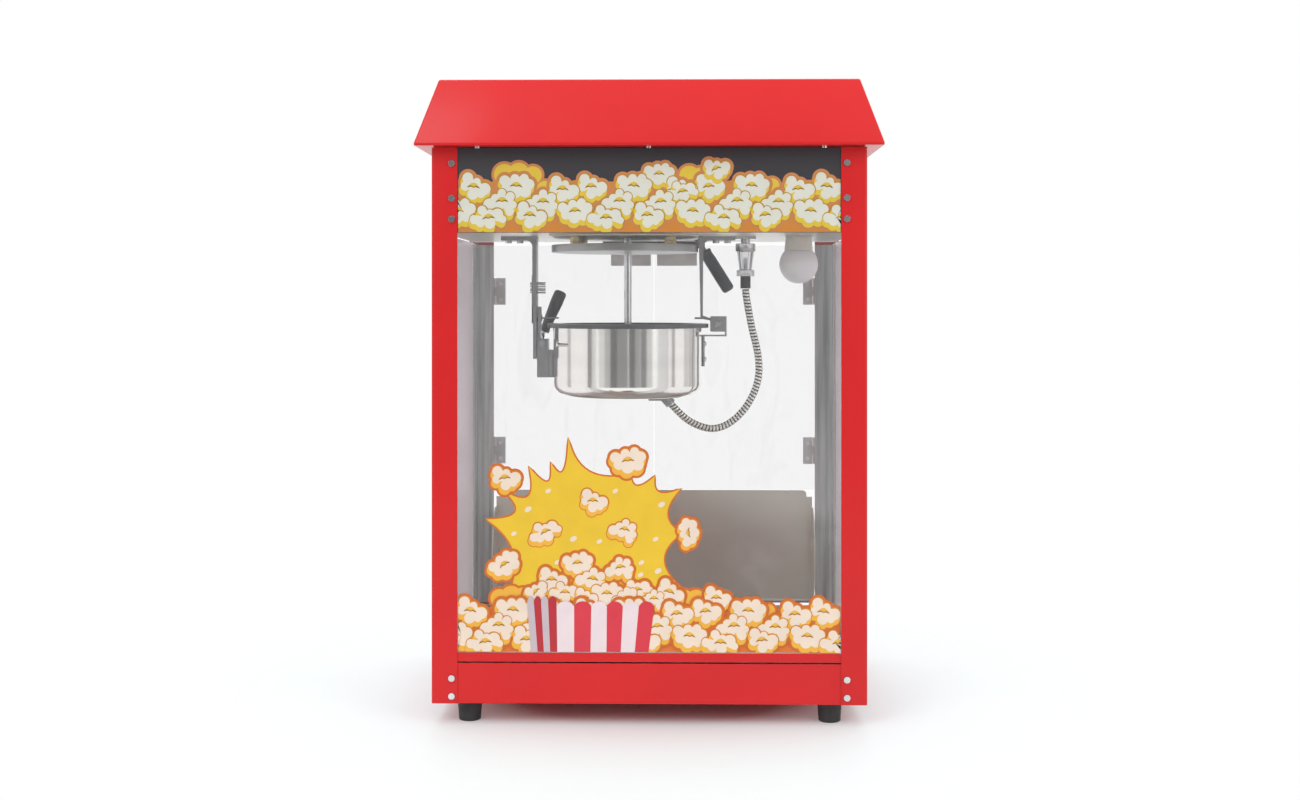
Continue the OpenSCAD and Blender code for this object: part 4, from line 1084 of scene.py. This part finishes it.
class OBJECT_OT_popcorn_pane_print(bpy.types.Operator):
    """Burst, flying flakes, striped bucket and heap printed on the front pane"""

    bl_idname = "object.popcorn_pane_print"
    bl_label = "Pane print"

    def execute(self, context):
        """Between each tip of the burst and the next runs a quadratic curve, bent in towards
        the middle; the bucket is a row of tapering stripes with arched tops."""
        s = context.scene.popcorn_print
        level, low, slot = PANE_Y - 0.01, PANE_FOOT, "clear_pane"
        tips = np.array(
            [
                (46, 158), (39, 228), (38, 281), (7, 296), (-22, 298), (-96, 341), (-117, 312),
                (-143, 307), (-173, 278), (-194, 244), (-165, 160),
            ],
            float,
        )
        bends = np.array(
            [
                (-7, 195), (5, 247), (1.5, 265), (-20, 271), (-84, 283), (-97.5, 277), (-112, 268),
                (-129, 251), (-135, 244), (-144, 212), (-60, 150),
            ],
            float,
        )
        t = np.linspace(0, 1, 14, endpoint=False)[None, :, None]
        a, b, c = tips[:, None], bends[:, None], np.roll(tips, -1, 0)[:, None]
        burst = ((1 - t) ** 2 * a + 2 * t * (1 - t) * b + t**2 * c).reshape(-1, 2)
        along = np.roll(burst, -1, 0) - np.roll(burst, 1, 0)
        along = along / np.linalg.norm(along, axis=1)[:, None]
        line = burst + 2.0 * np.column_stack([along[:, 1], -along[:, 0]])
        for key, shape, y, tone in (
            ("pane_burst_line", line, level, "pane_halo"),
            ("pane_burst", burst, level - INK_STEP, "gold"),
        ):
            put_ink(key, [plates(shape[None], y, BURST_HUB)], INKS[tone])
        dots = np.array(
            [
                (-120, 278), (-144, 256), (-40, 278), (-161, 227), (-90, 221), (-59, 218), (8, 221),
                (15, 262), (-109, 193), (-9, 193), (11, 183), (-10, 178.5),
            ],
            float,
        )
        egg = discs(dots, np.where(np.arange(len(dots)) % 3 == 1, 4.0, 3.2)) - dots[:, None]
        egg = egg * [1.0, 0.82] + egg[..., ::-1] * 0.16 + dots[:, None]
        put_ink("pane_kernels", [plates(egg, level - 2 * INK_STEP)], INKS["pane_cream"])
        print_band("pane_band", level - 3 * INK_STEP, low, 138, 6.1, 120, "pane_orange")
        bumps = [
            (-178, 150, 11), (-164, 153, 12), (-150, 152, 11), (42, 150, 11), (56, 150, 11),
            (24, 146, 12), (-224, 122, 9), (142, 136, 8), (200, 124, 9), (-136, 156, 9),
        ]
        layers = (("halo", 3.0, level - 4 * INK_STEP), ("yellow", 0.0, level - 7 * INK_STEP))
        print_bumps("pane_bump", bumps, layers, "pane_", low)
        outer = [
            (-172, 293, 0, 1.02, 8, 0), (-25, 314, 1, 1.08, 6, 0), (48, 229, 1, 0.86, 96, 0),
            (-172, 190, 1, 0.98, 32, 0),
        ]
        inner = [(-67, 266, 0, 0.95, 0, 0), (-123, 229, 3, 0.98, 25, 0), (-29, 232, 2, 0.92, -10, 0)]
        for key, spots, halo in (("outer_flake", outer, 2.8), ("inner_flake", inner, 1.0)):
            print_flakes(key, spots, level - 5 * INK_STEP, "pane_", low, halo)
        heap = [
            (-85, 192, 1, 0.92, 5), (-34, 187, 2, 0.92, 10), (-116, 172, 0, 1.0, 0),
            (-67, 173, 2, 1.0, -8), (-14, 160, 3, 0.95, 12), (-100, 157, 3, 0.9, 0),
            (-50, 156, 1, 0.95, 0), (-134, 158, 0, 0.8, 50), (-28, 150, 1, 0.8, 30),
            (-76, 151, 0, 0.8, 0), (24, 158, 0, 0.98, -15), (6, 150, 2, 0.8, 0),
            (80, 151, 0, 0.95, 0), (35, 128, 3, 1.0, 20),
        ]
        back = [(*o, k) for k, o in enumerate(heap)]
        print_flakes("heap_flake", back, level - 12 * INK_STEP, "pane_", low, 3.0)
        rows = border_spots(BORDER_SHIFT, s.jitter, s.seed)
        print_flakes("border_flake", rows, level - 98 * INK_STEP, "pane_", low, 3.0)
        front, rim = level - 150 * INK_STEP, 141.0
        top = np.array([-145, -137, -128.5, -120, -110, -89, -68.5, -50, -31, -12, 6.5])
        foot = np.array([-140.5, -132.5, -125, -117.5, -109, -89, -69.5, -50.5, -33.5, -17, -0.5])
        u = np.linspace(0, 1, 9)
        arch = 6.0 * np.sin(np.pi * u) ** 0.6
        rings = {}
        for i, key in enumerate(["side_white", "side_red"] * 2 + ["stripe_white", "stripe_red"] * 3):
            rise = 7.0 + 2 * np.linspace(-1, 0, 9) if key.startswith("side") else 0.0
            upper = np.column_stack([top[i] + u * (top[i + 1] - top[i]), rim + rise + arch])
            lower = np.column_stack([foot[i] + u * (foot[i + 1] - foot[i]), np.full(9, low)])
            rings.setdefault(key, []).append(np.vstack([lower, upper[::-1]]))
        for key, sets in rings.items():
            put_ink("bucket_" + key, [plates(np.array(sets), front)], INKS[key])
        return {"FINISHED"}


# ---- finishes of the frame's own pieces ----

NODE_FINISH = {
    "paint": "base_pan front_rail header_shroud",
    "sheet_steel": "deck_plate ceiling_plate hanger_plate serving_flap stir_blades kernel_drawer",
    "galvanised": "post_liners motor_bridge",
    "bracket": "left_hanger right_hanger kettle_left_arm kettle_right_arm kettle_heater "
    "kettle_gland lift_lever lever_bracket",
    "chrome": "cabinet_screws connector_socket kettle_fasteners tilt_handle_rod stir_shaft flap_pin",
    "brass": "disc_standoffs lift_yoke drive_hub",
    "hinge": "hinge_post_halves left_door_hardware right_door_hardware",
    "black_plastic": "detent_spring gear_motor switch_housings mains_gland magnet_bar "
    "heat_rocker stir_rocker",
    "rubber": "feet connector_boot",
    "black_panel": "header_panel",
    "cream": "lamp_holder terminal_block",
    "switch_red": "power_rocker",
    "pane": "front_pane",
    "side_pane": "left_side_pane right_side_pane",
    "door_pane": "left_door_pane right_door_pane",
}


class OBJECT_OT_popcorn_finishes(bpy.types.Operator):
    """Finishes of the sheet metal, brackets, panes and switches"""

    bl_idname = "object.popcorn_finishes"
    bl_label = "Finishes"

    def execute(self, context):
        for finish, names in NODE_FINISH.items():
            for name in names.split():
                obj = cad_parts[name]
                if not obj.material_slots:
                    obj.data.materials.append(None)
                for slot in obj.material_slots:
                    slot.material = MATERIALS[finish]
        return {"FINISHED"}


class OBJECT_OT_popcorn_stage(bpy.types.Operator):
    """Pale floor, soft lights and dark flags that show in the polished metal"""

    bl_idname = "object.popcorn_stage"
    bl_label = "Stage"

    def execute(self, context):
        s = context.scene.popcorn_stage
        scene = context.scene
        scene.view_settings.view_transform = "Standard"
        world = bpy.data.worlds.new("soft_white")
        scene.world = world
        tree = blank(world)
        ray = add(tree, "LightPath")

        def background(colour, strength):
            return add(tree, "Background", colour, strength).outputs[0]

        def chosen(key, no, yes):
            return add(tree, "MixShader", ray.outputs[key], no, yes).outputs[0]

        white = (1, 1, 1, 1)
        soft = background((0.97, 0.98, 1, 1), s.ambient)
        soft = chosen("Is Glossy Ray", soft, background(white, s.shine))
        add(tree, "OutputWorld", chosen("Is Camera Ray", soft, background(white, 1.0)))
        floor_mat = finish_material(
            "pale_floor", tuple(s.floor) + (1,), tuple(c * 0.985 for c in s.floor) + (1,), (0.6, 0.7),
            patch=1.5, grain=300.0, depth=0.00002, fade=(0.18, 0.66),
        )
        half = 8000
        pts = np.array([[-half, -half, 0], [half, -half, 0], [half, half, 0], [-half, half, 0]])
        floor = put_mesh("pale_floor", pts, [[0, 1, 2, 3]], floor_mat)
        for name, place, turn, size, power in (
            ("key_light", (-1.5, -2.2, 2.1), (52, 0, -34), (1.4, 1.8), s.key),
            ("fill_light", (1.9, -1.9, 1.5), (62, 0, 46), (1.1, 1.8), s.key * 0.62),
            ("top_light", (0, 0.2, 2.6), (0, 0, 0), (2.2, 1.8), s.key * 0.8),
            ("back_light", (0.0, 2.6, 1.6), (-62, 0, 0), (2.2, 1.4), s.key * 0.55),
        ):
            data = bpy.data.lights.new(name, "AREA")
            data.shape, data.size, data.size_y, data.energy = "RECTANGLE", size[0], size[1], power
            lamp = bpy.data.objects.new(name, data)
            lamp.location = place
            lamp.rotation_euler = [math.radians(a) for a in turn]
            scene.collection.objects.link(lamp)
        for i, (deg, width, tone) in enumerate(FLAGS):
            lit = dict(Emission_Color=(tone, tone, tone, 1), Emission_Strength=1.0)
            black = (0.01, 0.01, 0.01, 1)
            mat = finish_material(f"flag_{i}", black, None, (0.7, 0.8), patch=2.0, grain=50.0, **lit)
            a = math.radians(deg - 90)
            r = FLAG_DISTANCE + 12 * i
            c = np.array([math.cos(a) * r, math.sin(a) * r])
            side = np.array([-math.sin(a), math.cos(a)]) * r * math.tan(math.radians(width / 2))
            low, high = FLAG_HEIGHTS
            corners = ((c - side, low), (c + side, low), (c + side, high), (c - side, high))
            pts = np.array([[*at, z] for at, z in corners])
            flag = put_mesh(f"flag_{i}", pts, [[0, 1, 2, 3]], mat)
            for kind in ("camera", "diffuse", "shadow", "transmission"):
                setattr(flag, "visible_" + kind, False)
        return {"FINISHED"}


STEPS = [
    OBJECT_OT_popcorn_camera,
    OBJECT_OT_popcorn_hose,
    OBJECT_OT_popcorn_roof,
    OBJECT_OT_popcorn_posts,
    OBJECT_OT_popcorn_screws,
    OBJECT_OT_popcorn_kettle,
    OBJECT_OT_popcorn_disc,
    OBJECT_OT_popcorn_grips,
    OBJECT_OT_popcorn_lamp,
    OBJECT_OT_popcorn_connector,
    OBJECT_OT_popcorn_header_print,
    OBJECT_OT_popcorn_pane_print,
    OBJECT_OT_popcorn_finishes,
    OBJECT_OT_popcorn_stage,
]


class VIEW3D_PT_popcorn(bpy.types.Panel):
    """Sidebar panel that lists the machine's settings and pieces"""

    bl_idname = "VIEW3D_PT_popcorn"
    bl_label = "Popcorn Machine"
    bl_space_type = "VIEW_3D"
    bl_region_type = "UI"
    bl_category = "Popcorn"

    def draw(self, context):
        for name in ("finish", "print", "stage"):
            group = getattr(context.scene, "popcorn_" + name)
            box = self.layout.box()
            for key in group.__annotations__:
                box.prop(group, key)
        for step in STEPS:
            self.layout.operator(step.bl_idname)


CLASSES = [PopcornFinish, PopcornPrint, PopcornStage, *STEPS, VIEW3D_PT_popcorn]


def register():
    for c in CLASSES:
        bpy.utils.register_class(c)
    bpy.types.Scene.popcorn_finish = PointerProperty(type=PopcornFinish)
    bpy.types.Scene.popcorn_print = PointerProperty(type=PopcornPrint)
    bpy.types.Scene.popcorn_stage = PointerProperty(type=PopcornStage)


def unregister():
    del bpy.types.Scene.popcorn_finish
    del bpy.types.Scene.popcorn_print
    del bpy.types.Scene.popcorn_stage
    for c in reversed(CLASSES):
        bpy.utils.unregister_class(c)


def main():
    """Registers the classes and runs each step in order."""
    register()
    MATERIALS.update(make_materials(bpy.context.scene.popcorn_finish))
    INKS.update({key: ink(*tone) for key, tone in INK_TONES.items()})
    for step in STEPS:
        area, name = step.bl_idname.split(".")
        getattr(getattr(bpy.ops, area), name)()
    bpy.context.view_layer.update()


if __name__ == "__main__":
    main()
